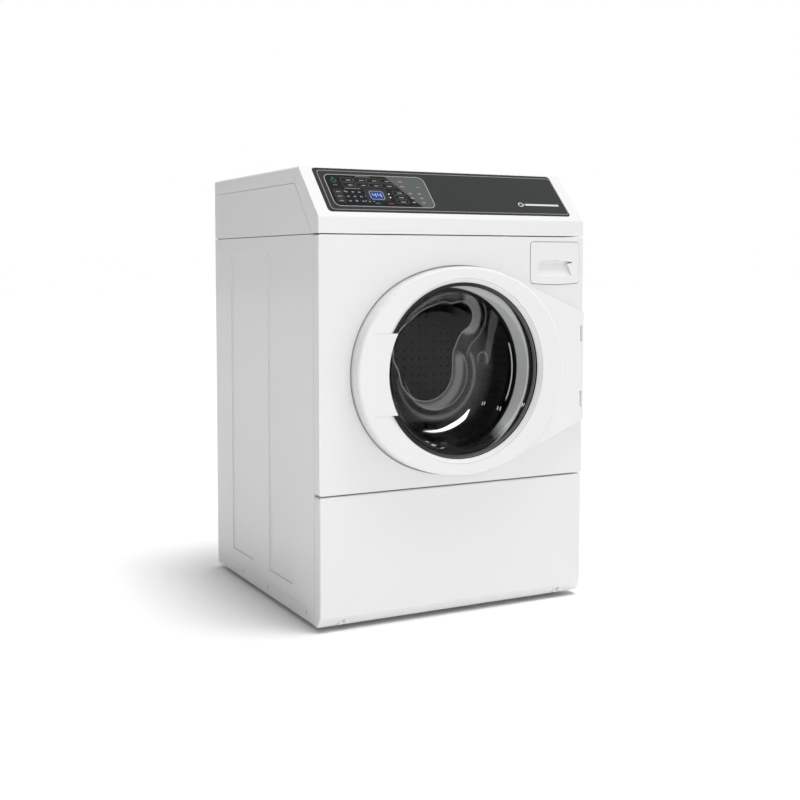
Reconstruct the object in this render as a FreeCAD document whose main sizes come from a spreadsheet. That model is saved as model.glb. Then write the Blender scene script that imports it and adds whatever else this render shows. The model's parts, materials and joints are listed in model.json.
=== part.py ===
import FreeCAD, Part
import os
import re
import Sketcher

# Front-load laundry washer. Millimetres, +Z up, front towards -Y, +X to the right seen from
# the front. The origin is the bottom centre of the bounding box, on the floor.

doc = FreeCAD.newDocument("front_load_washer")
dims = doc.addObject("Spreadsheet::Sheet", "dims")
table = doc.addObject("Spreadsheet::Sheet", "table")

SIZES = [
    # Cabinet envelope and its main heights
    ("cab_width", "683"),
    ("cab_depth", "705"),
    ("cab_height", "1011"),
    ("door_proud", "36"),
    ("foot_height", "12"),
    ("base_height", "28"),
    ("sheet_gauge", "1.2"),
    ("fold_radius", "4"),
    ("wrap_depth", "28.5"),
    ("hood_height", "150"),
    ("lid_height", "36"),
    ("access_height", "286"),
    ("rear_inset", "14"),
    ("half_width", "=cab_width / 2"),
    ("back_face", "=cab_depth / 2"),
    ("panel_face", "=door_proud - cab_depth / 2"),
    ("wrap_end", "=panel_face + wrap_depth"),
    ("base_top", "=foot_height + base_height"),
    ("seam_level", "=cab_height - hood_height"),
    ("lid_level", "=cab_height - lid_height"),
    ("access_top", "=foot_height + access_height"),
    ("rear_face", "=back_face - rear_inset"),
    # Base frame and legs
    ("rail_width", "58"),
    ("rail_wall", "2"),
    ("leg_inset", "40"),
    ("stud_radius", "5"),
    # Embossed fields of the side panels
    ("field_depth", "2.5"),
    ("field_low", "=base_top + 33"),
    ("field_high", "=seam_level - 39"),
    # Toe slope of the lower access panel
    ("toe_level", "=foot_height + 20.5"),
    ("toe_setback", "14"),
    # Drum axis, door opening and door outline (four tangent arcs)
    ("axis_level", "=cab_height - 453"),
    ("recess_depth", "8"),
    ("recess_floor", "=panel_face + recess_depth"),
    ("oval_width", "269"),
    ("oval_height", "=oval_width - 32"),
    ("oval_side", "=oval_width - 41"),
    ("rim_width", "61.5"),
    ("opening_radius", "=oval_width - rim_width"),
    ("mouth_radius", "=opening_radius - 4.5"),
    ("door_gap", "3"),
    ("door_wall", "4"),
    ("door_round", "7"),
    ("door_back", "=recess_floor - 3"),
    ("door_front", "=2.5 - cab_depth / 2"),
    ("handle_front", "=-cab_depth / 2"),
    ("flare_start", "=oval_width - 156"),
    ("flare_rise", "=oval_height - 24"),
    ("flare_half", "128"),
    ("flare_level", "=axis_level - 2.5"),
    ("pivot_radius", "4.4"),
    ("pivot_x", "=half_width - 4.6"),
    ("pivot_y", "=panel_face - 4.6"),
    ("pin_radius", "2"),
    ("knuckle_length", "36"),
    # Wash group
    ("tub_radius", "272"),
    ("tub_wall", "4"),
    ("lug_low", "=axis_level - tub_radius + 33"),
    ("lug_high", "=axis_level - tub_radius + 82"),
    ("lug_offset", "=tub_radius - 102"),
    ("ear_low", "=axis_level + tub_radius - 142"),
    ("ear_high", "=axis_level + tub_radius - 58"),
    ("spring_offset", "=tub_radius - 50"),
    ("tub_front_face", "=panel_face + 66.5"),
    ("tub_split", "=panel_face + 256.5"),
    ("tub_rear_face", "=panel_face + 491.5"),
    ("drum_clearance", "22"),
    ("drum_radius", "=tub_radius - drum_clearance"),
    ("drum_mouth", "=mouth_radius - 13"),
    ("drum_wall", "2"),
    ("drum_front_face", "=tub_front_face + 22"),
    ("drum_rear_face", "=tub_rear_face - 37"),
    ("lifter_reach", "58"),
    ("shaft_radius", "15"),
    ("tail_radius", "12.5"),
    ("pulley_radius", "150"),
    ("pulley_face", "=tub_rear_face + 65"),
    ("pulley_width", "20"),
    ("motor_radius", "68"),
    ("motor_pulley_radius", "25"),
    ("motor_drop", "87"),
    ("motor_level", "=axis_level - tub_radius - motor_drop"),
    ("belt_gap", "0.3"),
    ("belt_gauge", "4"),
    ("belt_sine", "=(pulley_radius - motor_pulley_radius) / (axis_level - motor_level)"),
    ("belt_cosine", "=sqrt(1 - belt_sine ^ 2)"),
    # Console: apron, slope and key overlay
    ("console_wall", "3"),
    ("console_round", "7"),
    ("apron_top", "=seam_level + 37"),
    ("slope_back", "=panel_face + 109.5"),
    ("slope_run", "=slope_back - panel_face"),
    ("slope_rise", "=cab_height - apron_top"),
    ("slope_angle", "=atan(slope_rise / slope_run)"),
    ("overlay_half", "=half_width - 29"),
    ("overlay_low", "15"),
    ("overlay_high", "153"),
    ("overlay_seat", "1.2"),
    ("overlay_proud", "0.4"),
    ("overlay_round", "9"),
    ("key_gap", "0.3"),
    ("key_proud", "0.6"),
    # Dispenser drawer
    ("drawer_left", "193"),
    ("drawer_right", "330"),
    ("drawer_low", "=seam_level - 108"),
    ("drawer_high", "=seam_level - 13"),
    ("drawer_length", "225"),
    ("drawer_gap", "1.2"),
    ("drawer_round", "9"),
    # Services
    ("hose_thread", "13.2"),
    ("valve_level", "=seam_level + 53"),
    ("screw_head", "4.3"),
    ("screw_shank", "2"),
]

for row, (name, value) in enumerate(SIZES, start=1):
    dims.set(f"A{row}", name)
    dims.set(f"B{row}", value)
    dims.setAlias(f"B{row}", name)
doc.recompute()

WORDS = re.compile(r"\b(" + "|".join(name for name, value in SIZES) + r")\b")
nodes = []
table_row = 0


def link(text):
    """Point every size named in a formula at the dims sheet."""
    return WORDS.sub(r"dims.\1", text)


def drive(obj, **formulas):
    """Bind properties of an object to formulas; x, y and z are its position."""
    for prop, text in formulas.items():
        target = f"Placement.Base.{prop}" if prop in ("x", "y", "z") else prop
        obj.setExpression(target, link(text))
    return obj


def number(value):
    return float(getattr(value, "Value", value))


def table_cell(text):
    """Write one formula in the point table and return the name of its cell."""
    global table_row
    table_row += 1
    cell = f"B{table_row}"
    table.set(cell, "=" + link(text))
    return cell


def table_values(cells):
    table.recompute()
    return [number(table.get(cell)) for cell in cells]


def base_plane(body, role):
    return [part for part in body.Origin.OriginFeatures if part.Role == role][0]


def new_sketch(body, role):
    sketch = body.newObject("Sketcher::SketchObject", "outline")
    sketch.AttachmentSupport = [(base_plane(body, role), "")]
    sketch.MapMode = "FlatFace"
    return sketch


def pin_point(sketch, index, end, cells, values):
    """Hold one end of a sketch element on its pair of table cells."""
    for kind, cell, value in zip(("DistanceX", "DistanceY"), cells, values):
        held = sketch.addConstraint(Sketcher.Constraint(kind, -1, 1, index, end, value))
        sketch.setExpression(f"Constraints[{held}]", f"table.{cell}")


def polygon(body, role, corners):
    sketch = new_sketch(body, role)
    cells = [(table_cell(u), table_cell(v)) for u, v in corners]
    values = [table_values(pair) for pair in cells]
    spots = [FreeCAD.Vector(u, v, 0) for u, v in values]
    count = len(spots)
    for index in range(count):
        sketch.addGeometry(Part.LineSegment(spots[index], spots[(index + 1) % count]))
    for index in range(count):
        after = (index + 1) % count
        sketch.addConstraint(Sketcher.Constraint("Coincident", index, 2, after, 1))
    for index in range(count):
        pin_point(sketch, index, 1, cells[index], values[index])
    return sketch


def oval(body, half_w, half_h, side):
    """Four tangent arcs round the body's origin, on the X-Z plane."""
    crown = f"((({half_w})-({side}))^2+({half_h})^2-({side})^2)/(2*(({half_h})-({side})))"
    join_u = f"(({half_w})-({side}))*({crown})/(({crown})-({side}))"
    join_v = f"({side})*(({crown})-({half_h}))/(({crown})-({side}))"
    sketch = new_sketch(body, "XZ_Plane")
    side_cell, crown_cell = table_cell(side), table_cell(crown)
    side_value, crown_value = table_values([side_cell, crown_cell])
    joins = []
    for sign_u, sign_v in (("", "-"), ("", ""), ("-", ""), ("-", "-")):
        cells = (table_cell(f"{sign_u}({join_u})"), table_cell(f"{sign_v}({join_v})"))
        joins.append((cells, table_values(cells)))
    width, height = table_values([table_cell(half_w), table_cell(half_h)])
    mids = [(width, 0), (0, height), (-width, 0), (0, -height)]
    for index, (u, v) in enumerate(mids):
        start = FreeCAD.Vector(*joins[index][1], 0)
        end = FreeCAD.Vector(*joins[(index + 1) % 4][1], 0)
        sketch.addGeometry(Part.Arc(start, FreeCAD.Vector(u, v, 0), end))
    for index in range(4):
        after = (index + 1) % 4
        sketch.addConstraint(Sketcher.Constraint("Coincident", index, 2, after, 1))
    for index in range(4):
        pin_point(sketch, index, 1, *joins[index])
        radius = (side_cell, side_value) if index % 2 == 0 else (crown_cell, crown_value)
        held = sketch.addConstraint(Sketcher.Constraint("Radius", index, radius[1]))
        sketch.setExpression(f"Constraints[{held}]", f"table.{radius[0]}")
    return sketch


def new_body(label):
    body = doc.addObject("PartDesign::Body", label)
    body.Label = label
    return body


def pad(body, sketch, length):
    feature = body.newObject("PartDesign::Pad", "pad")
    feature.Profile = sketch
    feature.setExpression("Length", link(length))
    return feature


def prism_x(label, corners, low, high):
    """Extrusion along X of a (y, z) outline."""
    body = drive(new_body(label), x=low)
    pad(body, polygon(body, "YZ_Plane", corners), f"({high})-({low})")
    return body


def prism_y(label, corners, front, back):
    """Extrusion along Y of an (x, z) outline."""
    body = drive(new_body(label), y=back)
    pad(body, polygon(body, "XZ_Plane", corners), f"({back})-({front})")
    return body


def prism_z(label, corners, low, high):
    """Extrusion along Z of an (x, y) outline."""
    body = drive(new_body(label), z=low)
    pad(body, polygon(body, "XY_Plane", corners), f"({high})-({low})")
    return body


def oval_prism(label, half_w, half_h, side, front, back, rounding=None):
    """Door-shaped extrusion along Y, its front edge rounded when asked."""
    body = drive(new_body(label), y=back, z="axis_level")
    feature = pad(body, oval(body, half_w, half_h, side), f"({back})-({front})")
    if rounding:
        doc.recompute()
        face = feature.Shape.BoundBox.YMin
        edges = feature.Shape.Edges
        names = [f"Edge{i + 1}" for i, edge in enumerate(edges)
                 if abs(edge.BoundBox.YMin - face) < 0.01 and edge.BoundBox.YLength < 0.01]
        fillet = body.newObject("PartDesign::Fillet", "rounding")
        fillet.Base = (feature, names)
        fillet.setExpression("Radius", link(rounding))
    return body


def soften(body, radius, wanted):
    """Round the wanted edges of a body's last feature."""
    doc.recompute()
    feature = body.Tip
    names = [f"Edge{i + 1}" for i, edge in enumerate(feature.Shape.Edges)
             if wanted(edge.BoundBox)]
    fillet = body.newObject("PartDesign::Fillet", "rounding")
    fillet.Base = (feature, names)
    fillet.setExpression("Radius", link(radius))
    return body


def near(value, formula):
    """Whether a measured place lies on the plane that a formula gives."""
    return abs(value - table_values([table_cell(formula)])[0]) < 0.05


def turned(label, profile, x="0", z="axis_level"):
    """Body of revolution about a line along Y; the profile is (radius, y)."""
    body = drive(new_body(label), x=x, z=z)
    sketch = polygon(body, "XY_Plane", profile)
    spin = body.newObject("PartDesign::Revolution", "spin")
    spin.Profile = sketch
    spin.ReferenceAxis = (sketch, ["V_Axis"])
    spin.Angle = 360
    return body


def box(label, x0, x1, y0, y1, z0, z1):
    solid = doc.addObject("Part::Box", label)
    return drive(solid, x=x0, y=y0, z=z0, Length=f"({x1})-({x0})",
                 Width=f"({y1})-({y0})", Height=f"({z1})-({z0})")


def slope_box(label, x0, x1, s0, s1, n0, n1):
    """Box on the console slope: s runs up the slope, n points out of it."""
    solid = doc.addObject("Part::Box", label)
    solid.Placement.Rotation = FreeCAD.Rotation(FreeCAD.Vector(1, 0, 0), 45)
    solid.setExpression("Placement.Rotation.Angle", link("slope_angle"))
    return drive(solid, x=x0,
                 y=f"panel_face+({s0})*cos(slope_angle)-({n0})*sin(slope_angle)",
                 z=f"apron_top+({s0})*sin(slope_angle)+({n0})*cos(slope_angle)",
                 Length=f"({x1})-({x0})", Width=f"({s1})-({s0})", Height=f"({n1})-({n0})")


def slope_plate(label, x0, x1, s0, s1, n0, n1, radius):
    """Box on the console slope with its four corners rounded."""
    body = new_body(label)
    body.Placement.Rotation = FreeCAD.Rotation(FreeCAD.Vector(1, 0, 0), 45)
    body.setExpression("Placement.Rotation.Angle", link("slope_angle"))
    drive(body, x=x0,
          y=f"panel_face+({s0})*cos(slope_angle)-({n0})*sin(slope_angle)",
          z=f"apron_top+({s0})*sin(slope_angle)+({n0})*cos(slope_angle)")
    width, rise = f"({x1})-({x0})", f"({s1})-({s0})"
    feature = pad(body, polygon(body, "XY_Plane", [
        ("0", "0"), (width, "0"), (width, rise), ("0", rise)]), f"({n1})-({n0})")
    doc.recompute()
    names = [f"Edge{i + 1}" for i, edge in enumerate(feature.Shape.Edges)
             if abs(edge.Vertexes[0].X - edge.Vertexes[1].X) < 0.01
             and edge.Length < 10]
    fillet = body.newObject("PartDesign::Fillet", "rounding")
    fillet.Base = (feature, names)
    fillet.setExpression("Radius", link(radius))
    return body


def slope_rod(label, x, s, n0, n1, radius):
    rod = doc.addObject("Part::Cylinder", label)
    rod.Placement.Rotation = FreeCAD.Rotation(FreeCAD.Vector(1, 0, 0), 45)
    rod.setExpression("Placement.Rotation.Angle", link("slope_angle"))
    return drive(rod, x=x,
                 y=f"panel_face+({s})*cos(slope_angle)-({n0})*sin(slope_angle)",
                 z=f"apron_top+({s})*sin(slope_angle)+({n0})*cos(slope_angle)",
                 Radius=radius, Height=f"({n1})-({n0})")


def rod_x(label, y, z, low, high, radius):
    rod = doc.addObject("Part::Cylinder", label)
    rod.Placement.Rotation = FreeCAD.Rotation(FreeCAD.Vector(0, 1, 0), 90)
    return drive(rod, x=low, y=y, z=z, Radius=radius, Height=f"({high})-({low})")


def rod_y(label, x, z, front, back, radius):
    rod = doc.addObject("Part::Cylinder", label)
    rod.Placement.Rotation = FreeCAD.Rotation(FreeCAD.Vector(1, 0, 0), -90)
    return drive(rod, x=x, y=front, z=z, Radius=radius, Height=f"({back})-({front})")


def rod_z(label, x, y, low, high, radius):
    rod = doc.addObject("Part::Cylinder", label)
    return drive(rod, x=x, y=y, z=low, Radius=radius, Height=f"({high})-({low})")


def join(label, *shapes):
    if len(shapes) == 1:
        return shapes[0]
    fused = doc.addObject("Part::MultiFuse", label)
    fused.Shapes = list(shapes)
    return fused


def cut(label, base, *tools):
    result = doc.addObject("Part::Cut", label)
    result.Base = base
    result.Tool = join(label + "_tools", *tools)
    return result


def overlap(label, first, second):
    result = doc.addObject("Part::MultiCommon", label)
    result.Shapes = [first, second]
    return result


def group(label, *shapes):
    result = doc.addObject("Part::Compound", label)
    result.Links = list(shapes)
    return result


def mirrored(label, source):
    result = doc.addObject("Part::Mirroring", label)
    result.Source = source
    result.Normal = FreeCAD.Vector(1, 0, 0)
    return result


def node(name, obj):
    """Name a finished sub-part and list it for export."""
    obj.Label = name
    nodes.append((name, obj))
    return obj


def hose(label, runs, elbows, radius, bore):
    """Hollow hose: straight runs (axis, across, across, low, high) and ball elbows."""
    makers = {"x": rod_x, "y": rod_y, "z": rod_z}
    layers = []
    for size in (radius, bore):
        parts = [makers[run[0]](f"{label}_run", *run[1:], size) for run in runs]
        for x, y, z in elbows:
            ball = doc.addObject("Part::Sphere", f"{label}_elbow")
            parts.append(drive(ball, x=x, y=y, z=z, Radius=size))
        layers.append(parts)
    return cut(label, join(f"{label}_outside", *layers[0]), *layers[1])


# Base frame: hollow rail ring with two cross rails and a boss over each leg
base_ring = cut(
    "base_ring",
    box("base_outer", "-half_width", "half_width", "wrap_end", "back_face",
        "foot_height", "base_top"),
    box("base_window", "rail_width-half_width", "half_width-rail_width",
        "wrap_end+rail_width", "back_face-rail_width", "foot_height-1", "base_top+1"))
base_hollow = cut(
    "base_hollow",
    box("hollow_outer", "rail_wall-half_width", "half_width-rail_wall",
        "wrap_end+rail_wall", "back_face-rail_wall",
        "foot_height+rail_wall", "base_top-rail_wall"),
    box("hollow_inner", "rail_width-rail_wall-half_width", "half_width-rail_width+rail_wall",
        "wrap_end+rail_width-rail_wall", "back_face-rail_width+rail_wall",
        "foot_height-1", "base_top+1"))
leg_spots = [(x, y) for x in ("leg_inset-half_width", "half_width-leg_inset")
             for y in ("wrap_end+leg_inset", "back_face-leg_inset")]
cross_rails = [box("cross_rail", "rail_width-half_width", "half_width-rail_width",
                   f"panel_face+{low}", f"panel_face+{high}", "foot_height+4", "base_top-4")
               for low, high in ((140, 190), (355, 405))]
bosses = [rod_z("leg_boss", x, y, "foot_height", "base_top", "14") for x, y in leg_spots]
base_solid = join("base_solid", cut("base_tube", base_ring, base_hollow),
                  *cross_rails, *bosses)
side_screws = [(f"panel_face+{y}", "foot_height+18") for y in (74, 308, 478)]
seats = []
for y, z in side_screws:
    seats.append(rod_x("screw_seat", y, z, "-half_width-1", "1.5-half_width", "screw_head+0.4"))
    seats.append(rod_x("screw_seat", y, z, "half_width-1.5", "half_width+1", "screw_head+0.4"))
    seats.append(rod_x("screw_hole", y, z, "-half_width-1", "3-half_width", "screw_shank+0.1"))
    seats.append(rod_x("screw_hole", y, z, "half_width-3", "half_width+1", "screw_shank+0.1"))
leg_holes = [rod_z("leg_hole", x, y, "foot_height-1", "base_top+1", "stud_radius+0.06")
             for x, y in leg_spots]
node("base_frame", cut("base_frame", base_solid, *seats, *leg_holes))

# Levelling legs under the base corners
studs, pads = [], []
for x, y in leg_spots:
    stud = rod_z("leg_stud", x, y, "3", "base_top-4", "stud_radius")
    nut = rod_z("leg_nut", x, y, "foot_height-5", "foot_height", "9")
    plate = rod_z("leg_plate", x, y, "3", "6", "13")
    studs.append(join("leg", stud, nut, plate))
    sole = rod_z("leg_sole", x, y, "0", "6", "17")
    pads.append(cut("leg_pad", sole, rod_z("leg_seat", x, y, "3", "7", "13.02")))
node("leg_studs", group("leg_studs", *studs))
node("leg_pads", group("leg_pads", *pads))

# Side panels: sheet with two embossed fields and folded flanges
side_low, side_high = "base_top+0.4", "seam_level-0.8"
side_sheet = box("side_sheet", "-half_width", "sheet_gauge-half_width", "wrap_end+1",
                 "back_face", side_low, side_high)
fields = ((154, 299), (409, 552))
pans = [box("field_pan", "-half_width", "field_depth+sheet_gauge-half_width",
            f"panel_face+{low}-sheet_gauge", f"panel_face+{high}+sheet_gauge",
            "field_low-sheet_gauge", "field_high+sheet_gauge") for low, high in fields]
hollows = [box("field_hollow", "-half_width-1", "field_depth-half_width",
               f"panel_face+{low}", f"panel_face+{high}", "field_low", "field_high")
           for low, high in fields]
flanges = [box("front_flange", "-half_width", "16-half_width", "wrap_end+1",
               "wrap_end+1+sheet_gauge", side_low, side_high),
           box("rear_flange", "-half_width", "16-half_width", "rear_face-2*sheet_gauge-0.1",
               "rear_face-sheet_gauge-0.1", side_low, side_high)]
left_side = node("side_panel_left",
                 cut("side_panel_left", join("side_solid", side_sheet, *pans, *flanges),
                     *hollows))
node("side_panel_right", mirrored("side_panel_right", left_side))

# Rear panel, its service openings and the access cover over the pulley
inlets = [("-230", "valve_level"), ("-180", "valve_level")]
drain_x, drain_z = "-312", "seam_level-57"
gland_x, gland_z = "260", "valve_level"
rear_sheet = box("rear_sheet", "sheet_gauge+0.5-half_width", "half_width-sheet_gauge-0.5",
                 "rear_face-sheet_gauge", "rear_face", "base_top+0.4", "lid_level-0.8")
rear_holes = [rod_y("inlet_hole", x, z, "rear_face-9", "rear_face+9", "hose_thread+6.8")
              for x, z in inlets]
rear_holes.append(rod_y("drain_hole", drain_x, drain_z, "rear_face-9", "rear_face+9", "12.8"))
rear_holes.append(rod_y("gland_hole", gland_x, gland_z, "rear_face-9", "rear_face+9", "10.6"))
rear_holes.append(rod_y("pulley_window", "0", "axis_level-40", "rear_face-9", "rear_face+9",
                        "205"))
vents = [box("vent", f"{x}", f"{x + 8}", "rear_face-9", "rear_face+9",
             "valve_level-18", "valve_level+22") for x in range(-60, 61, 20)]
cover_plate = rod_y("cover_plate", "0", "axis_level-40", "rear_face", "rear_face+1.2", "222")
cover_dish = rod_y("cover_dish", "0", "axis_level-40", "rear_face", "rear_face+6", "170")
cover_void = rod_y("cover_void", "0", "axis_level-40", "rear_face-1", "rear_face+4.8", "168.8")
cover_screws = [(u, v) for u, v in ((0, 212), (184, 106), (184, -106), (0, -212),
                                    (-184, -106), (-184, 106))]
pilots = [rod_y("cover_pilot", f"{u}", f"axis_level-40+({v})", "rear_face-4", "rear_face+4",
                "screw_shank+0.1") for u, v in cover_screws]
rear_pilots = [rod_y("rear_pilot", f"{u}", f"axis_level-40+({v})", "rear_face-4",
                     "rear_face+4", "screw_shank+0.1") for u, v in cover_screws]
node("rear_panel", cut("rear_panel", rear_sheet, *rear_holes, *vents, *rear_pilots))
node("rear_access_cover", cut("rear_access_cover", join("cover_solid", cover_plate, cover_dish),
                              cover_void, *pilots))

def drawer_block(label, grow, front, back):
    """Outline of the drawer front, grown all round, its ends rounded."""
    left, right = f"drawer_left-{grow}", f"drawer_right+{grow}"
    body = prism_y(
        label,
        [(left, f"drawer_high+{grow}"), (right, f"drawer_high+{grow}"),
         (right, f"drawer_low-{grow}"), ("drawer_right-34", f"drawer_low-2.6-{grow}"),
         ("drawer_left/2+drawer_right/2", f"drawer_low-3.6-{grow}"),
         ("drawer_left+34", f"drawer_low-2.6-{grow}"), (left, f"drawer_low-{grow}")],
        front, back)
    return soften(body, f"drawer_round+{grow}", lambda bounds: bounds.YLength > 1 and (
        near(bounds.XMin, left) or near(bounds.XMin, right)))


# Upper front panel: sheet folded back all round, door recess, round mouth, drawer window
upper_low, upper_high = "access_top+1.7", "seam_level-1.2"


def upper_block(label, inset, back):
    """Block of the upper panel, inset from its skin, with rounded folds."""
    left, right = f"{inset}-half_width", f"half_width-{inset}"
    low, high = f"{upper_low}+{inset}", f"{upper_high}-{inset}"
    face = f"panel_face+{inset}"
    body = prism_y(label, [(left, low), (right, low), (right, high), (left, high)], face, back)
    return soften(body, f"fold_radius-{inset}",
                  lambda bounds: bounds.YLength > 1 or near(bounds.YMin, face))


front_shell_upper = cut("front_shell_upper", upper_block("upper_outer", "0", "wrap_end-0.6"),
                        upper_block("upper_inner", "sheet_gauge", "wrap_end+5"))
recess_pan = oval_prism("recess_pan", "oval_width+sheet_gauge", "oval_height+sheet_gauge",
                        "oval_side+sheet_gauge", "panel_face", "recess_floor+sheet_gauge")
collar = rod_y("mouth_collar", "0", "axis_level", "recess_floor", "recess_floor+16",
               "mouth_radius+sheet_gauge")
front_cuts = [
    oval_prism("recess", "oval_width", "oval_height", "oval_side", "panel_face-1",
               "recess_floor"),
    rod_y("mouth", "0", "axis_level", "panel_face-9", "recess_floor+30", "mouth_radius"),
    drawer_block("drawer_window", "drawer_gap", "panel_face-5", "panel_face+9"),
    box("strike_window", "13-oval_width", "35-oval_width", "panel_face-5", "recess_floor+9",
        "axis_level-16", "axis_level+16"),
]
node("front_panel_upper",
     cut("front_panel_upper", join("front_solid", front_shell_upper, recess_pan, collar),
         *front_cuts))

# Lower access panel with its toe slope, folded top and folded ends
lower_high, toe_low = "access_top-1.7", "foot_height-1"


def lower_block(label, inset, foot):
    """Block of the lower panel, inset from its skin, with rounded folds."""
    face, top = f"panel_face+{inset}", f"{lower_high}-{inset}"
    body = prism_x(
        label,
        [(face, top), (face, "toe_level"), (f"panel_face+toe_setback+{inset}", toe_low),
         *foot, (foot[-1][0], top)], f"{inset}-half_width", f"half_width-{inset}")
    return soften(body, f"fold_radius-{inset}", lambda bounds: (
        near(bounds.YMin, face) and (bounds.XLength < 1 or near(bounds.ZMin, top))
        or bounds.XLength < 1 and bounds.YLength > 20 and near(bounds.ZMin, top)))


toe_screws = [("-281", "foot_height+7"), ("281", "foot_height+7")]
toe_holes = [rod_y("toe_hole", x, z, "panel_face", "panel_face+20", "screw_shank+0.1")
             for x, z in toe_screws]
node("front_panel_lower",
     cut("front_panel_lower",
         lower_block("lower_outer", "0", [("wrap_end-0.6", toe_low)]),
         lower_block("lower_inner", "sheet_gauge",
                     [("panel_face+toe_setback+sheet_gauge", "foot_height-9"),
                      ("wrap_end+5", "foot_height-9")]), *toe_holes))

# Pan-head screws: base sides, toe slope, rear access cover
screws = []
for y, z in side_screws:
    screws.append(join("screw", rod_x("head", y, z, "0.1-half_width", "1.45-half_width",
                                      "screw_head"),
                       rod_x("shank", y, z, "1.4-half_width", "9-half_width", "screw_shank")))
    screws.append(join("screw", rod_x("head", y, z, "half_width-1.45", "half_width-0.1",
                                      "screw_head"),
                       rod_x("shank", y, z, "half_width-9", "half_width-1.4", "screw_shank")))
for x, z in toe_screws:
    screws.append(join("screw", rod_y("head", x, z, "panel_face+4.2", "panel_face+5.6",
                                      "screw_head"),
                       rod_y("shank", x, z, "panel_face+5.6", "panel_face+22", "screw_shank")))
for u, v in cover_screws:
    spot = (f"{u}", f"axis_level-40+({v})")
    screws.append(join("screw", rod_y("head", *spot, "rear_face+1.2", "rear_face+2.6",
                                      "screw_head"),
                       rod_y("shank", *spot, "rear_face-6", "rear_face+1.2", "screw_shank")))
node("cabinet_screws", group("cabinet_screws", *screws))

# Hood: side cheeks above the main seam, joined by the spring beam and a rear tie
cheek = [("wrap_end+6.5", "seam_level+0.8"), ("slope_back+22.2", "lid_level-0.8"),
         ("back_face", "lid_level-0.8"), ("back_face", "seam_level+0.8")]
cheeks = [prism_x("hood_cheek", cheek, low, high)
          for low, high in (("-half_width", "sheet_gauge-half_width"),
                            ("half_width-sheet_gauge", "half_width"))]
beam = cut("spring_beam",
           box("beam_outer", "-half_width", "half_width", "panel_face+358", "panel_face+395",
               "seam_level+0.8", "seam_level+14"),
           box("beam_void", "sheet_gauge-half_width", "half_width-sheet_gauge",
               "panel_face+360", "panel_face+393", "seam_level+2.8", "seam_level+15"))
tie = box("rear_tie", "-half_width", "half_width", "rear_face-30", "rear_face-6",
          "seam_level+0.8", "seam_level+3")
eyes = [rod_z("spring_eye_hole", x, "panel_face+376.5", "seam_level-1", "seam_level+4", "2.4")
        for x in ("-spring_offset", "spring_offset")]
node("hood_frame", cut("hood_frame", join("hood_solid", *cheeks, beam, tie), *eyes))

# Top cover
lid_solid = prism_x(
    "lid_solid",
    [("slope_back+1", "cab_height"), ("back_face", "cab_height"), ("back_face", "lid_level"),
     ("slope_back+21", "lid_level")], "-half_width", "half_width")
lid_void = prism_x(
    "lid_void",
    [("slope_back+4", "cab_height-2"), ("back_face-2", "cab_height-2"),
     ("back_face-2", "lid_level-1"), ("slope_back+25", "lid_level-1")],
    "2-half_width", "half_width-2")
for body, level, radius in ((lid_solid, "cab_height", "console_round"),
                            (lid_void, "cab_height-2", "console_round-2")):
    soften(body, radius, lambda bounds: bounds.YLength > 100 and near(bounds.ZMin, level))
node("top_cover", cut("top_cover", lid_solid, lid_void))

# Console housing: apron and slope in one hollow moulding
console_solid = prism_x(
    "console_solid",
    [("panel_face", "seam_level+1.2"), ("panel_face", "apron_top"),
     ("slope_back", "cab_height"), ("slope_back+20", "lid_level"),
     ("wrap_end+5.5", "seam_level+1.2")],
    "-half_width", "half_width")
console_void = prism_x(
    "console_void",
    [("panel_face+console_wall", "seam_level-5"),
     ("panel_face+console_wall",
      "apron_top+console_wall*tan(slope_angle)-console_wall/cos(slope_angle)"),
     ("slope_back", "cab_height-console_wall/cos(slope_angle)"),
     ("slope_back+60", "cab_height-console_wall/cos(slope_angle)"),
     ("slope_back+60", "seam_level-5")],
    "console_wall-half_width", "half_width-console_wall")
for body, inset in ((console_solid, "0"), (console_void, "console_wall")):
    sides = (f"{inset}-half_width", f"half_width-{inset}")
    soften(body, f"console_round-{inset}", lambda bounds: (
        bounds.XLength < 1 and 20 < bounds.ZLength and bounds.YLength < 111
        and bounds.YMin < number(dims.get("slope_back")) - 60
        and any(near(bounds.XMin, side) for side in sides)
        or bounds.XLength > 100 and near(bounds.YMin, f"panel_face+{inset}")
        and bounds.ZMin > number(dims.get("seam_level")) + 20))
overlay_pocket = slope_plate("overlay_pocket", "-overlay_half-0.3", "overlay_half+0.3",
                             "overlay_low-0.3", "overlay_high+0.3", "-overlay_seat", "5",
                             "overlay_round+0.3")
keys = [
    ("key_start", "-288", "-262", "100", "124"),
    ("key_wash_a", "-284", "-266", "42", "54"),
    ("key_wash_b", "-260", "-242", "42", "54"),
    ("key_wash_c", "-236", "-218", "42", "54"),
    ("key_option_a", "-142", "-124", "42", "54"),
    ("key_option_b", "-118", "-100", "42", "54"),
]
key_holes = [slope_box("key_hole", f"{x0}-key_gap", f"{x1}+key_gap", f"{s0}-key_gap",
                       f"{s1}+key_gap", "-9", "9") for name, x0, x1, s0, s1 in keys]
overlay_holes = [slope_box("overlay_hole", f"{x0}-key_gap", f"{x1}+key_gap",
                           f"{s0}-key_gap", f"{s1}+key_gap", "-9", "9")
                 for name, x0, x1, s0, s1 in keys]
window = ("-208", "-152", "50", "90")
badge_bar = ("201", "294", "48", "54")
node("console_housing",
     cut("console_housing", console_solid, console_void, overlay_pocket, *key_holes))
overlay_plate = slope_plate("overlay_plate", "-overlay_half", "overlay_half", "overlay_low",
                            "overlay_high", "-overlay_seat", "overlay_proud", "overlay_round")
window_seat = slope_box("window_seat", "-208.1", "-151.9", "49.9", "90.1", "-0.4", "5")
node("console_overlay", cut("console_overlay", overlay_plate, window_seat, *overlay_holes))
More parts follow.
